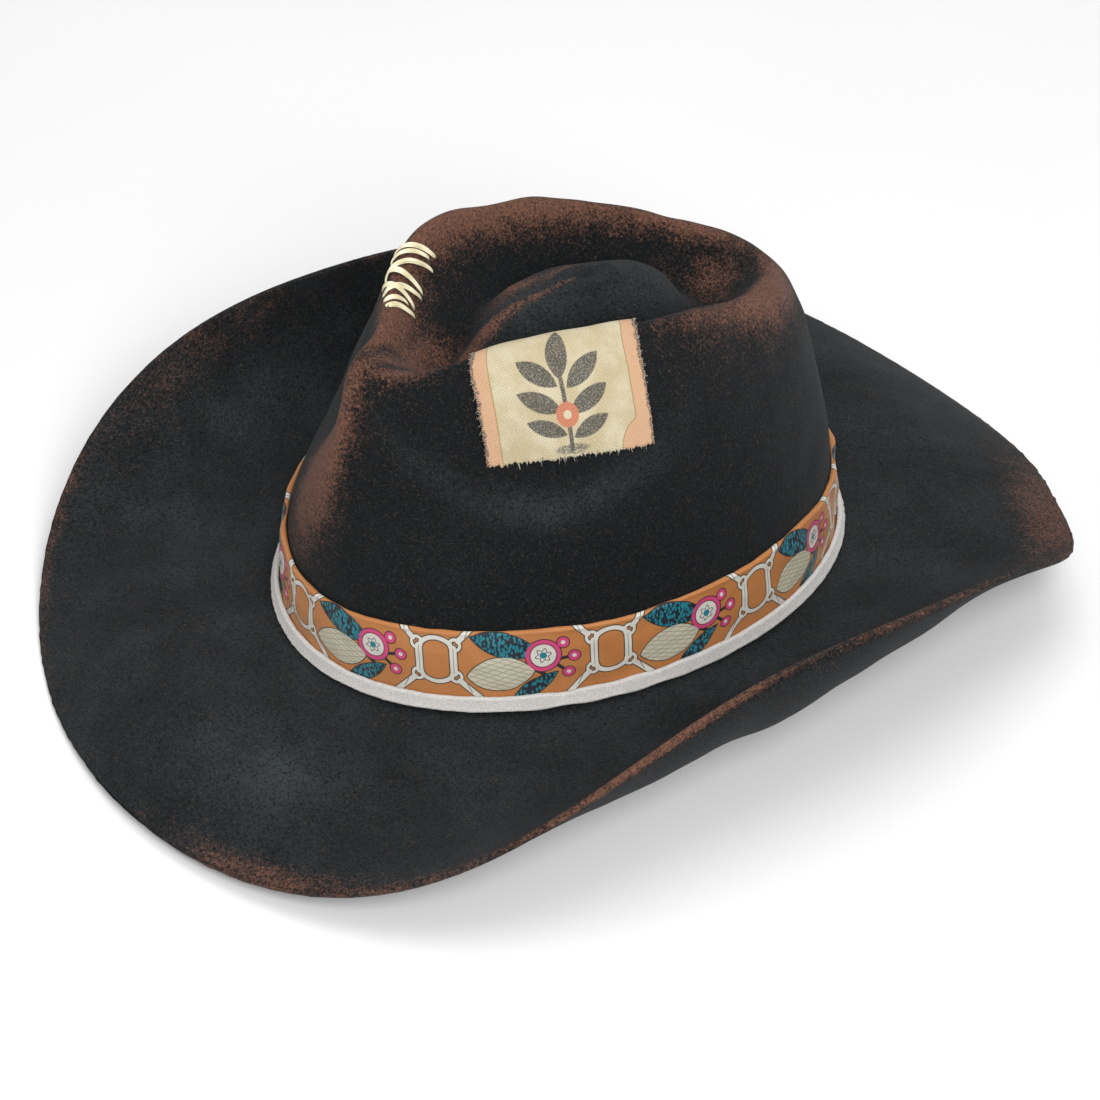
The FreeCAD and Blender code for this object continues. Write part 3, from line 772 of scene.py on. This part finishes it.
def linen_material():
    """Cream linen with peach side borders, a thin frame line and a faded generic sprig."""
    shade = Shade("linen", Sheen_Weight=0.12, Specular_IOR_Level=0.2)
    x, y = shade.uv_mm()
    warp = (x * (2 * math.pi / 1.15)).sin()
    weft = (y * (2 * math.pi / 1.05)).sin()
    weave = warp * weft
    slub = shade.noise(0.9, 3, 0.6, shade.stretched((1, 6, 1), uv=True))
    faded = shade.noise(0.55, 2, 0.7).range(0.30, 0.58)
    colour = shade.mix(shade.noise(9, 3).range(0.35, 0.7), LINEN_CREAM, LINEN_LIGHT)
    colour = shade.mix(slub.range(0.55, 0.8) * 0.3, colour, (0.60, 0.50, 0.30))
    side = x.min((x - LINEN_WIDE) * -1.0)
    corner = length_of(x - LINEN_WIDE, y) - LINEN_NOTCH - 4.0
    border = (side - LINEN_BORDER).min(corner)
    colour = shade.mix(inside(border, 0.2) * 0.85, colour, LINEN_PEACH)
    colour = shade.mix(inside(border.abs() - 0.22, 0.15) * 0.7, colour, LINEN_OLIVE)
    sprig = line_shape(x, y, 31.0, 3.0, 30.5, 31.0) - 0.75
    for centre_x, centre_y, turn, half_length, half_width in SPRIG:
        sprig = sprig.min(leaf_shape(x, y, centre_x, centre_y, turn, half_length, half_width))
    colour = shade.mix(inside(sprig, 0.25) * faded.range(0, 1, 0.55, 0.95), colour, LINEN_INK)
    bloom = length_of(x - 30.8, (y - 15.5) * 0.9) - 4.0
    colour = shade.mix(inside(bloom, 0.25), colour, LINEN_CORAL)
    colour = shade.mix(inside(bloom + 2.6, 0.2), colour, LINEN_LIGHT)
    ground = length_of((x - 31.0) * 0.32, y - 3.0) - 1.9
    colour = shade.mix(inside(ground, 0.5) * faded * 0.85, colour, LINEN_INK)
    rim = side - 1.2 + (shade.noise(2.6, 2) - 0.5) * 3.0
    colour = shade.mix(inside(rim, 0.3) * faded * 0.9, colour, LINEN_INK)
    colour = shade.mix(weave.range(-1.0, 0.1, 0.60, 0.0), colour, (0.30, 0.24, 0.14))
    return shade.finish(colour, slub.range(0.2, 0.8, 0.80, 0.95), (weave, 0.16, 0.9), (slub, 0.14, 0.5))


def thread_material(name, light, dark, twist=0.9, rough=0.55):
    """Twisted thread; its UV runs round and along it."""
    shade = Shade(name, Sheen_Weight=0.2, Specular_IOR_Level=0.4)
    node = shade.tree.nodes.new("ShaderNodeSeparateXYZ")
    shade.feed(node.inputs[0], shade.coordinates.outputs["UV"])
    round_it = Value(shade, node.outputs["X"])
    along = Value(shade, node.outputs["Y"])
    ply = ((round_it * 2.0 + along * (1000 / twist)) * (2 * math.pi)).sin()
    hair = shade.noise(0.25, 3, 0.6)
    colour = shade.mix(ply.range(-1.0, 0.6), dark, light)
    colour = shade.mix(hair.range(0.5, 0.8) * 0.3, colour, light)
    return shade.finish(colour, hair.range(0.2, 0.8, rough - 0.08, rough + 0.12), (ply, 0.10, 0.7))


def leather_material():
    """Smooth brown sweatband leather: fine grain, darker where it is handled."""
    shade = Shade("sweat_leather", Specular_IOR_Level=0.45)
    grain = shade.cells(0.9)
    tone = shade.noise(16, 4, 0.6)
    pore = shade.noise(0.35, 2)
    colour = shade.mix(tone.range(0.3, 0.7), (0.21, 0.090, 0.036), (0.33, 0.155, 0.066))
    colour = shade.mix(grain.range(0.55, 0.9) * 0.35, colour, (0.10, 0.042, 0.018))
    return shade.finish(colour, tone.range(0.3, 0.7, 0.40, 0.58), (grain, 0.10, 0.5), (pore, 0.05, 0.4))


def satin_material():
    """Rust-brown satin: long floats that catch the light."""
    shade = Shade("satin", Sheen_Weight=0.2, Specular_IOR_Level=0.55)
    x, y = shade.uv_mm()
    floats = shade.noise(0.5, 2, 0.5, shade.stretched((1, 9, 1), uv=True))
    tone = shade.noise(25, 2)
    colour = shade.mix(tone.range(0.3, 0.7), (0.185, 0.060, 0.024), (0.255, 0.090, 0.036))
    colour = shade.mix(floats.range(0.4, 0.8) * 0.4, colour, (0.36, 0.150, 0.070))
    return shade.finish(colour, floats.range(0.2, 0.8, 0.26, 0.42),
                        (floats, 0.06, 0.5), (((x + y) * (2 * math.pi / 0.45)).sin(), 0.02, 0.4))


def ribbed_material(name, dark, light, pitch):
    """Ribbed ribbon or cotton tape."""
    shade = Shade(name, Sheen_Weight=0.25, Specular_IOR_Level=0.35)
    position = shade.tree.nodes.new("ShaderNodeSeparateXYZ")
    shade.feed(position.inputs[0], shade.coordinates.outputs["Object"])
    rib = (Value(shade, position.outputs["X"]) * (2 * math.pi / (pitch * MM))).sin()
    fibre = shade.noise(0.4, 3, 0.6)
    colour = shade.mix(rib.range(-0.8, 0.8), dark, light)
    colour = shade.mix(fibre.range(0.5, 0.8) * 0.4, colour, light)
    return shade.finish(colour, fibre.range(0.2, 0.8, 0.62, 0.85), (rib, 0.12, 0.6), (fibre, 0.08, 0.5))


def reed_material():
    """Matte plastic reed with drawn lines."""
    shade = Shade("reed", Specular_IOR_Level=0.4)
    drawn = shade.noise(0.6, 3, 0.6)
    colour = shade.mix(drawn.range(0.3, 0.7), (0.48, 0.45, 0.38), (0.60, 0.57, 0.50))
    return shade.finish(colour, drawn.range(0.2, 0.8, 0.42, 0.6), (drawn, 0.03, 0.4))


# ------------------------------------------------------------------ felt body
AROUND = 420                  # stations of the felt's mesh
LIP_ROUND = 0.75              # mm the brim's cut edge bulges out
STEP = 1.8                    # mm between its rows
UNEVEN = 0.45                 # mm of hand-made unevenness


def felt_rows():
    """Surface rows about a step apart, from the brim's edge to the middle of the tip."""
    fine = np.linspace(0, LAST_ROW, 600)
    grid = felt_grid(np.arange(0, 360, 15.0), fine)
    along = np.concatenate([[0], np.cumsum(np.linalg.norm(np.diff(grid, axis=0), axis=2).mean(axis=1))])
    count = int(along[-1] / STEP)
    return np.interp(np.linspace(0, along[-1], count), along, fine)


def spots(stations, rows, places):
    """Greatest weight of several soft places, each with station, width, row, reach and strength."""
    weights = [bump(apart(stations, station), 0, width) * bump(rows, row, reach) * strength
               for station, width, row, reach, strength in places]
    return np.max(weights, axis=0)


WORN_PLACES = (
    (280, 40, RIM_ROW + 0.90, 0.75, 1.00),      # far rim
    (330, 22, RIM_ROW + 1.00, 0.85, 1.00),      # rim under the floss
    (218, 26, RIM_ROW + 0.75, 0.60, 0.78),      # far back rim
    (148, 27, RIM_ROW + 0.20, 0.62, 1.00),      # near back rim
    (112, 13, RIM_ROW + 0.30, 0.40, 0.55),      # near rim behind the patch
    (345, 15, RIM_ROW + 2.60, 1.10, 0.74),      # front of the gutter
    (25, 13, RIM_ROW + 0.70, 0.50, 0.66),       # rim in front of the patch
    (305, 17, RIM_ROW + 5.50, 0.75, 0.62),      # front of the raised tip
    (270, 34, RIM_ROW + 6.80, 0.55, 0.72),      # top of the raised tip
    (184, 20, RIM_ROW + 2.40, 0.90, 0.46),      # back of the gutter
    (27, 9, 0.1, 0.30, 0.55),                   # brim's edge, front left
    (72, 15, 0.0, 0.14, 0.80),                  # brim's edge, left side
    (150, 13, 0.3, 0.80, 0.60),                 # brim's edge, back left
    (298, 14, 0.3, 0.80, 0.30),                 # brim's edge, right side
)
# Clouds on the brim: dust, and the front-left one at station 20 is also painted sheen from grazing light.
DUST_AND_SHEEN_PLACES = ((20, 15, 3.4, 1.5, 0.62), (305, 40, 3.0, 2.0, 0.46))    # two clouds on the brim


def wear_of(stations, rows, points):
    """How rubbed the felt is: a streak down the front, the places above and a trace all round the edge."""
    height = points[..., 2]
    streak = 0.20 * (height - 95) + 1
    front = bump(apart(stations, streak), 0, 10) * bump(height, 80, 31) * 1.15
    edge = bump(rows, 0, 0.16) * (0.22 + 0.20 * np.cos(np.radians(stations * 5 - 190)))
    return np.maximum(np.maximum(front, edge), spots(stations, rows, WORN_PLACES))


def dust_and_painted_light_of(stations, rows, points):
    """Lighter felt: the brim's top, the tip, two brim clouds and painted highlights on the near wall."""
    brim = np.clip((FOOT_ROW + 0.4 - rows) / 1.2, 0, 1) * 0.34
    tip = np.clip(rows - RIM_ROW - 3.6, 0, 1) * 0.40
    off = apart(stations, 62)
    # Painted highlight: a lighter arc on the near wall where the pinch's bulge catches the light.
    painted_highlight_arc = bump(points[..., 2], 78 + 0.018 * off ** 2, 7) * bump(off, 0, 24) * 0.50
    # Painted sheen highlight: a lighter patch lower on the near wall.
    low = bump(off, -20, 14) * bump(points[..., 2], 60, 16) * 0.22
    dust_and_painted_light = np.maximum(np.maximum(brim, tip), spots(stations, rows, DUST_AND_SHEEN_PLACES))
    return np.maximum(dust_and_painted_light, np.maximum(painted_highlight_arc, low))


def make_felt(material):
    stations = stations_round(AROUND)
    rows = felt_rows()
    grid = felt_grid(stations, rows)
    normals = grid_normals(grid)
    settle = np.clip(rows / 2, 0, 1)[:, None] * np.clip((LAST_ROW - rows) / 2, 0, 1)[:, None]
    near_band = 1 - bump(rows, FOOT_ROW + 0.6, 1.3)[:, None]
    under_patch = 1 - bump(apart(stations, 70), 0, 17)[None, :] * bump(rows, RIM_ROW, 1.3)[:, None]
    lift = (ripple(grid, 46, 3) + ripple(grid, 17, 4) * 0.3) * UNEVEN * settle * near_band * under_patch
    outer = grid + normals * lift[..., None]
    inner_index = np.unique(np.concatenate([np.arange(0, len(rows), 2), [len(rows) - 1]]))
    inner = (outer - normals * FELT)[inner_index]
    outward = outer[0] - outer[1]
    outward /= np.linalg.norm(outward, axis=1, keepdims=True)
    middle = (outer[0] + inner[0]) / 2
    half = (outer[0] - inner[0]) / 2
    lip = []
    for turn in np.radians((162, 135, 105, 75, 45, 18)):
        lip.append(middle - half * math.cos(turn) + outward * math.sin(turn) * LIP_ROUND)
    lip = np.array(lip)
    lip += ripple(lip, 3.0, 5)[..., None] * 0.09
    stacked = np.concatenate([inner[::-1], lip, outer])
    faces = grid_faces(*stacked.shape[:2], wrap=True)[0].tolist()
    points = stacked.reshape(-1, 3)
    total = len(points)
    ends = []
    for base, centre in ((0, stacked[0].mean(axis=0)), (total - AROUND, stacked[-1].mean(axis=0))):
        for index in range(AROUND):
            pair = [base + index, base + (index + 1) % AROUND]
            faces.append((pair[::-1] if base == 0 else pair) + [total + len(ends)])
        ends.append(centre)
    piece = add_mesh("felt_shell", np.concatenate([points, ends]), faces)
    row_of = np.concatenate([rows[inner_index][::-1], np.zeros(len(lip)), rows])
    wear = wear_of(stations[None, :], row_of[:, None], stacked)
    wear[:len(inner_index)] *= bump(row_of[:len(inner_index)], 0, 0.1)[:, None]
    dust_and_painted_light = dust_and_painted_light_of(stations[None, :], row_of[:, None], stacked)
    # Painted shade: the inner skin, under the brim too, is kept near the base black.
    dust_and_painted_light[:len(inner_index)] = 0.05
    attribute(piece, "wear", np.concatenate([wear.ravel(), [0, 0]]))
    attribute(piece, "dust_and_painted_light", np.concatenate([dust_and_painted_light.ravel(), [0, 0]]))
    return finish_piece(piece, "felt", material, "felt_body")


# ------------------------------------------------------------------ scarf and lace
BAND_STATIONS = 720
LACE_SQUARE = 0.45            # below 1, the lace's section is nearer to a rectangle
LACE_EASE = 0.15              # thicker than the CAD lace by twice this
LACE_SINK = 0.35              # it presses into the scarf
SCARF_ROLL = 1.4              # mm from the roll's start to the scarf's top
SCARF_HEM = 3.0               # the turned-in back stops this far above the front


def round_lengths(grid):
    """Length along a grid's first row, all the way round, in metres."""
    return lengths(np.concatenate([grid[0], grid[0][:1]]))


def make_scarf(material):
    """Silk folded lengthwise: up the outside, over a soft roll and down behind."""
    stations = stations_round(BAND_STATIONS)
    top = SCARF_TOP - SCARF_ROLL
    front = np.linspace(SCARF_BOTTOM + 0.2, top, 26)
    roll = np.radians(np.linspace(20, 160, 8))
    back = np.linspace(top, SCARF_BOTTOM + SCARF_HEM, 8)
    outer = SCARF_CLEAR + SCARF_THICK - SILK_THICK
    inner = SCARF_CLEAR + SILK_THICK
    half = (outer - inner) / 2
    lines = []
    for height in front:
        share = (height - front[0]) / (front[-1] - front[0])
        lines.append((height, outer - 0.75 * bump(share, 0.0, 0.25) - 0.2 * share))
    for turn in roll:
        lines.append((top + 1.15 * math.sin(turn), inner + half + half * math.cos(turn)))
    for height in back:
        lines.append((height, inner))
    heights, outs = np.array(lines).T[:, :, None]
    gather = bump(apart(stations, 150), 0, 22) + 0.6 * bump(apart(stations, 338), 0, 18)
    share = np.clip((heights - SCARF_BOTTOM) / (SCARF_TOP - SCARF_BOTTOM), 0, 1)
    crease = np.sin(np.radians(stations) * 26 + share * 5.0) * gather * 0.5
    sway = ripple(oval(stations)[0], 60, 11) * 0.5
    grid = wall(stations[None, :], level(stations, heights + (sway - gather * 1.6) * share),
                outs + crease * (share > 0.1) * np.clip(outs - inner, 0, 1))
    grid += grid_normals(grid) * ripple(grid, 8, 12)[..., None] * 0.10
    around = round_lengths(grid)
    around *= round(around[-1] / (PRINT_REPEAT * MM)) * PRINT_REPEAT * MM / around[-1]
    piece = grid_piece("silk_scarf", grid, around, lengths(grid[:, 0]), wrap=True)
    thicken(piece, SILK_THICK)
    return finish_piece(piece, "silk", material, "scarf_band")


def make_lace(material):
    """Suede lace over the scarf's lower edge, cut a little unevenly."""
    stations = stations_round(BAND_STATIONS)
    half_thick = LACE_THICK / 2 + LACE_EASE
    centre = SCARF_CLEAR + SCARF_THICK - LACE_SINK + half_thick
    middle = (LACE_TOP + LACE_BOTTOM) / 2
    half = (LACE_TOP - LACE_BOTTOM) / 2
    turn = np.radians(np.arange(16) * 22.5)[:, None]
    square_z = np.sign(np.sin(turn)) * np.abs(np.sin(turn)) ** LACE_SQUARE
    square_x = np.sign(np.cos(turn)) * np.abs(np.cos(turn)) ** LACE_SQUARE
    cut = ripple(oval(stations)[0], 14, 21) * 0.15
    outs = centre + square_x * half_thick
    grid = wall(stations[None, :], level(stations, middle + square_z * half), outs)
    grid[..., 2] += square_z * cut
    grid += ripple(grid, 2.2, 22)[..., None] * 0.05
    piece = grid_piece("suede_trim", grid, wrap=True, wrap_rows=True)
    return finish_piece(piece, "suede", material, "suede_lace")


# ------------------------------------------------------------------ patch and floss
PATCH_COLUMNS = 124
PATCH_LINES = 116
PATCH_LIFT = 0.45
LINEN_THICK = 0.45
FRAY_THICK = 0.07
FLOSS_STRANDS = 5
STRAND_PITCH = 0.36           # in degrees round the hat
STRAND = (0.27, 0.24)         # half width and half thickness


def patch_at(across, down):
    """Station and row of a spot of the patch; both run from 0 to 1."""
    front = PATCH_TOP[0] + (PATCH_BOTTOM[0] - PATCH_TOP[0]) * down
    back = PATCH_TOP[1] + (PATCH_BOTTOM[1] - PATCH_TOP[1]) * down
    return front + (back - front) * across, PATCH_TOP[2] + (PATCH_BOTTOM[2] - PATCH_TOP[2]) * down


def make_patch(material):
    """Linen square folded over the rim, its cut edges frayed and its corners lifting."""
    random = np.random.default_rng(31)
    across, down = np.meshgrid(np.linspace(0, 1, PATCH_COLUMNS), np.linspace(1, 0, PATCH_LINES))
    ragged_side = random.normal(0, 0.0035, PATCH_LINES)
    ragged_end = random.normal(0, 0.0045, PATCH_COLUMNS)
    wavy = np.sin(np.linspace(0, 9, PATCH_LINES)) * 0.006
    across = across + (ragged_side + wavy)[:, None] * bump(across, 0, 0.012)
    across = across + (np.roll(ragged_side, 7) - wavy)[:, None] * bump(across, 1, 0.012)
    down = down + ragged_end[None, :] * (bump(down, 1, 0.012) + bump(down, 0, 0.012))
    corner = bump(across, 0, 0.10) + bump(across, 1, 0.10)
    lift = PATCH_LIFT + corner * bump(down, 1, 0.14) * 0.9 + corner * 0.18
    stations, rows = patch_at(across, down)
    grid = on_felt(stations, rows, lift)
    grid = on_felt(stations, rows, lift + ripple(grid, 15, 32) * 0.16)
    middle_line = grid[:, PATCH_COLUMNS // 2]
    u = np.linspace(0, LINEN_WIDE * MM, PATCH_COLUMNS)
    piece = grid_piece("linen_square", grid, u, lengths(middle_line))
    thicken(piece, LINEN_THICK)
    return finish_piece(piece, "linen", material, "linen_patch")


def make_fray(name, slot, material, count, seed):
    """Loose thread ends that stand out of the patch's cut edges."""
    random = np.random.default_rng(seed)
    tubes = []
    for _ in range(count):
        side = random.choice(("front", "back", "low"), p=(0.36, 0.36, 0.28))
        spot = random.uniform(0.0, 1.0)
        reach = random.uniform(0.4, 1.9) / LINEN_WIDE
        if side == "low":
            start, step = (spot, 0.985), (random.normal(0, 0.008), reach * 1.3)
        elif side == "front":
            start, step = (0.012, spot), (-reach, random.normal(0, 0.016))
        else:
            start, step = (0.988, spot), (reach, random.normal(0, 0.016))
        share = np.linspace(0, 1, 5)
        stations, rows = patch_at(start[0] + step[0] * share,
                                  start[1] + step[1] * share + random.normal(0, 0.006) * share ** 2)
        lift = 0.45 + random.uniform(-0.1, 0.5) * share + 0.15
        path = on_felt(stations, rows, lift)
        up = on_felt(stations, rows, lift + 1) - path
        tubes.append(tube_points(path, up, random.uniform(0.07, 0.12), FRAY_THICK, 5, 1 - 0.5 * share))
    return finish_piece(tubes_piece(name, tubes), slot, material)


def make_floss(material):
    """Flat stitches over the rim, each a bundle of soft strands."""
    random = np.random.default_rng(41)
    tubes = []
    share = np.linspace(0, 1, 22)
    for outer, inner, over in FLOSS_STITCHES:
        for strand in range(FLOSS_STRANDS):
            arch = np.sin(math.pi * share)
            aside = (strand - FLOSS_STRANDS // 2) * STRAND_PITCH * arch ** 0.5 + random.normal(0, 0.08)
            stations = outer[0] + (inner[0] - outer[0]) * share + aside
            rows = outer[1] + (inner[1] - outer[1]) * share + random.normal(0, 0.02)
            lift = (0.15 + (0.75 + 0.5 * over) * arch ** 0.6 + random.uniform(0, 0.12)
                    - 0.9 * (bump(share, 0, 0.03) + bump(share, 1, 0.03)))
            path = on_felt(stations, rows, lift)
            up = on_felt(stations, rows, lift + 1) - path
            tubes.append(tube_points(path, up, *STRAND))
    return finish_piece(tubes_piece("floss_stitches", tubes), "floss", material, "rim_floss")


# ------------------------------------------------------------------ inside of the crown
def make_sweatband(material):
    """Leather strap that stands inside the opening, its free edge a little wavy."""
    stations = stations_round(BAND_STATIONS)
    heights = np.linspace(SWEAT_BOTTOM, SWEAT_TOP, 30)[:, None]
    share = (heights - SWEAT_BOTTOM) / (SWEAT_TOP - SWEAT_BOTTOM)
    clear = level(stations, np.maximum(heights, FILLET_TOP))
    sway = ripple(oval(stations)[0], 70, 51) * 0.5 * share
    outs = SWEAT_OUT - SWEAT_THICK / 2 - SWEAT_LEAN * share - np.abs(sway)
    grid = wall(stations[None, :], clear, outs)
    grid[..., 2] = level(stations, heights)
    crease = bump(heights, SWEAT_BOTTOM + 3.4, 0.7) * 0.25
    grid += grid_normals(grid) * crease[..., None]
    around = round_lengths(grid)
    piece = grid_piece("leather_sweatband", grid, around, lengths(grid[:, 0]), wrap=True)
    thicken(piece, SWEAT_THICK * 0.9)
    return finish_piece(piece, "sweat_leather", material, "sweatband")


def make_lining_side(material):
    """Satin wall of the lining, gathered towards its top."""
    stations = stations_round(BAND_STATIONS)
    heights = np.linspace(LINING_BOTTOM, LINING_TOP, 40)[:, None]
    lean = np.clip((heights - SWEAT_TOP) / (LINING_TOP - SWEAT_TOP), 0, 1)
    pleat = np.sin(np.radians(stations) * 44 + 1.5 * ripple(oval(stations)[0], 90, 61))
    outs = LINING_OUT - LINING_THICK / 2 - LINING_LEAN * lean - np.clip(pleat, -0.3, 1) * 0.9 * lean
    grid = wall(stations[None, :], level(stations, heights), outs)
    around = round_lengths(grid)
    piece = grid_piece("satin_side", grid, around, lengths(grid[:, 0]), wrap=True)
    thicken(piece, LINING_THICK)
    return finish_piece(piece, "satin", material, "lining_side")


def make_lining_tip(material):
    """Satin oval, domed a little, with a turned seam round its edge."""
    stations = stations_round(BAND_STATIONS // 3)
    edge = wall(stations, LINING_TOP, LINING_OUT - LINING_LEAN - LINING_THICK - TIP_GAP)
    centre = np.array([0, TIP_CENTRE, LINING_TOP])
    shares = np.concatenate([[1.0, 1.0, 0.995, 0.985, 0.97, 0.95], np.linspace(0.92, 0.02, 40)])
    drops = np.concatenate([[-1.6, -0.8, -0.15, 0.10, -0.05, -0.10], np.zeros(40)])
    grid = []
    for share, drop in zip(shares, drops):
        line = centre + (edge - centre) * share
        line[:, 2] = LINING_TOP - TIP_DROP + LINING_RISE * (1 - share ** 2) + drop
        grid.append(line)
    grid = np.array(grid)
    grid[..., 2] += ripple(grid, 26, 71) * 0.35 * np.clip(1 - shares, 0, 0.3)[:, None] / 0.3
    faces = grid_faces(*grid.shape[:2], wrap=True)[0].tolist()
    last = (len(shares) - 1) * len(stations)
    faces.append([last + index for index in range(len(stations))])
    flat = (grid.reshape(-1, 3)[:, :2] * MM)
    uv = np.concatenate([flat[face] for face in faces])
    piece = add_mesh("satin_tip", grid.reshape(-1, 3), faces, uv)
    thicken(piece, LINING_THICK)
    return finish_piece(piece, "satin", material, "lining_tip")


def make_bow(material):
    """Flat ribbon bow over the sweatband's joint: two loops and a wrapped knot."""
    base = wall(180, BOW_LEVEL, SWEAT_OUT - SWEAT_THICK - BOW_OFF)
    across = np.linspace(-1, 1, 11)
    lines = []
    for turn in np.linspace(0, 2 * math.pi, 61):
        reach = BOW_WIDTH / 2 * math.sin(turn)
        depth = 0.95 * math.sin(2 * turn) - 0.15
        pinch = 0.42 + 0.58 * min(1, abs(reach) / (BOW_WIDTH * 0.3))
        lines.append(base + stack(reach, depth + 0.18 * np.cos(across * 7) * (1.2 - pinch),
                                  across * 4.4 * pinch))
    grid = np.array(lines)[:-1]
    loops = grid_piece("bow_loops", grid.transpose(1, 0, 2), wrap=True)
    thicken(loops, 0.3)
    finish_piece(loops, "ribbon", material, "sweatband_bow")
    turn = np.radians(np.arange(24) * 15)
    knot = []
    for side in np.linspace(-2.1, 2.1, 9):
        squeeze = 1 - 0.10 * math.cos(side * 3)
        knot.append(base + stack(side, np.cos(turn) * 1.35 * squeeze - 0.1, np.sin(turn) * 2.5 * squeeze))
    return finish_piece(tubes_piece("bow_knot", [np.array(knot)]), "ribbon", material)


def paint_node(name, material):
    """Gives a CAD node its material."""
    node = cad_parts[name]
    node.data.materials.clear()
    node.data.materials.append(material)


# ------------------------------------------------------------------ studio
def add_light(name, spot, target, size, power):
    lamp = bpy.data.lights.new(name, "AREA")
    lamp.shape = "DISK"
    lamp.size = size
    lamp.energy = power
    light = bpy.data.objects.new(name, lamp)
    light.location = spot
    light.rotation_euler = (Vector(target) - Vector(spot)).to_track_quat("-Z", "Y").to_euler()
    bpy.context.collection.objects.link(light)


def make_studio():
    """Pale floor and large soft lights."""
    size = 6.0
    mesh = bpy.data.meshes.new("floor")
    corners = [(-size, -size, 0), (size, -size, 0), (size, size, 0), (-size, size, 0)]
    mesh.from_pydata(corners, [], [(0, 1, 2, 3)])
    floor = bpy.data.objects.new("floor", mesh)
    bpy.context.collection.objects.link(floor)
    shade = Shade("floor", Specular_IOR_Level=0.1)
    pale = shade.mix(shade.noise(400, 2).range(0.3, 0.7), (0.90, 0.90, 0.90), (0.93, 0.93, 0.93))
    mesh.materials.append(shade.finish(pale, 0.9))
    middle = (0, 0, 0.08)
    add_light("key", (1.45, -0.45, 1.35), middle, 1.1, 30)
    add_light("side", (-0.9, -1.3, 1.1), middle, 1.2, 2.5)
    add_light("top", (-0.1, 0.2, 1.9), middle, 1.4, 11)
    world = bpy.data.worlds.new("studio")
    world.use_nodes = True
    world.node_tree.nodes["Background"].inputs["Color"].default_value = (1, 1, 1, 1)
    world.node_tree.nodes["Background"].inputs["Strength"].default_value = 0.45
    bpy.context.scene.world = world
    bpy.context.scene.view_settings.view_transform = "Standard"


def make_camera():
    turn = math.radians(VIEW_TURN)
    rise = math.radians(VIEW_RISE)
    back = np.array([math.sin(turn) * math.cos(rise), -math.cos(turn) * math.cos(rise), math.sin(rise)])
    right = np.array([math.cos(turn), math.sin(turn), 0.0])
    up = np.cross(back, right)
    spot = place(back * VIEW_DISTANCE)
    matrix = np.eye(4)
    for column, axis in enumerate((right, up, back)):
        matrix[:3, column] = TILT @ axis
    matrix[:3, 3] = spot
    data = bpy.data.cameras.new("camera")
    data.lens = VIEW_LENS
    data.shift_x, data.shift_y = VIEW_SHIFT
    camera = bpy.data.objects.new("camera", data)
    camera.matrix_world = Matrix(matrix.tolist())
    bpy.context.collection.objects.link(camera)
    bpy.context.scene.camera = camera


def make_hat():
    make_felt(felt_material())
    make_scarf(silk_material())
    make_lace(suede_material())
    make_patch(linen_material())
    pale_thread = thread_material("pale_thread", (0.80, 0.77, 0.66), (0.46, 0.42, 0.32))
    dark_thread = thread_material("dark_thread", (0.10, 0.11, 0.13), (0.030, 0.032, 0.040))
    make_fray("pale_fray", "linen", pale_thread, 170, 33)
    make_fray("dark_fray", "linen", dark_thread, 60, 34)
    make_floss(thread_material("floss", (0.90, 0.85, 0.62), (0.80, 0.70, 0.42), twist=9.0, rough=0.45))
    make_sweatband(leather_material())
    satin = satin_material()
    make_lining_side(satin)
    make_lining_tip(satin)
    make_bow(ribbed_material("ribbon", (0.010, 0.010, 0.011), (0.030, 0.030, 0.033), 0.8))
    paint_node("sweatband_reed", reed_material())
    paint_node("reed_tape", ribbed_material("tape", (0.085, 0.038, 0.018), (0.15, 0.07, 0.034), 0.7))
    thread = thread_material("thread", (0.62, 0.50, 0.34), (0.36, 0.27, 0.17))
    paint_node("reed_stitches", thread)
    paint_node("sweatband_joint_stitches", thread)


make_camera()
make_studio()
make_hat()
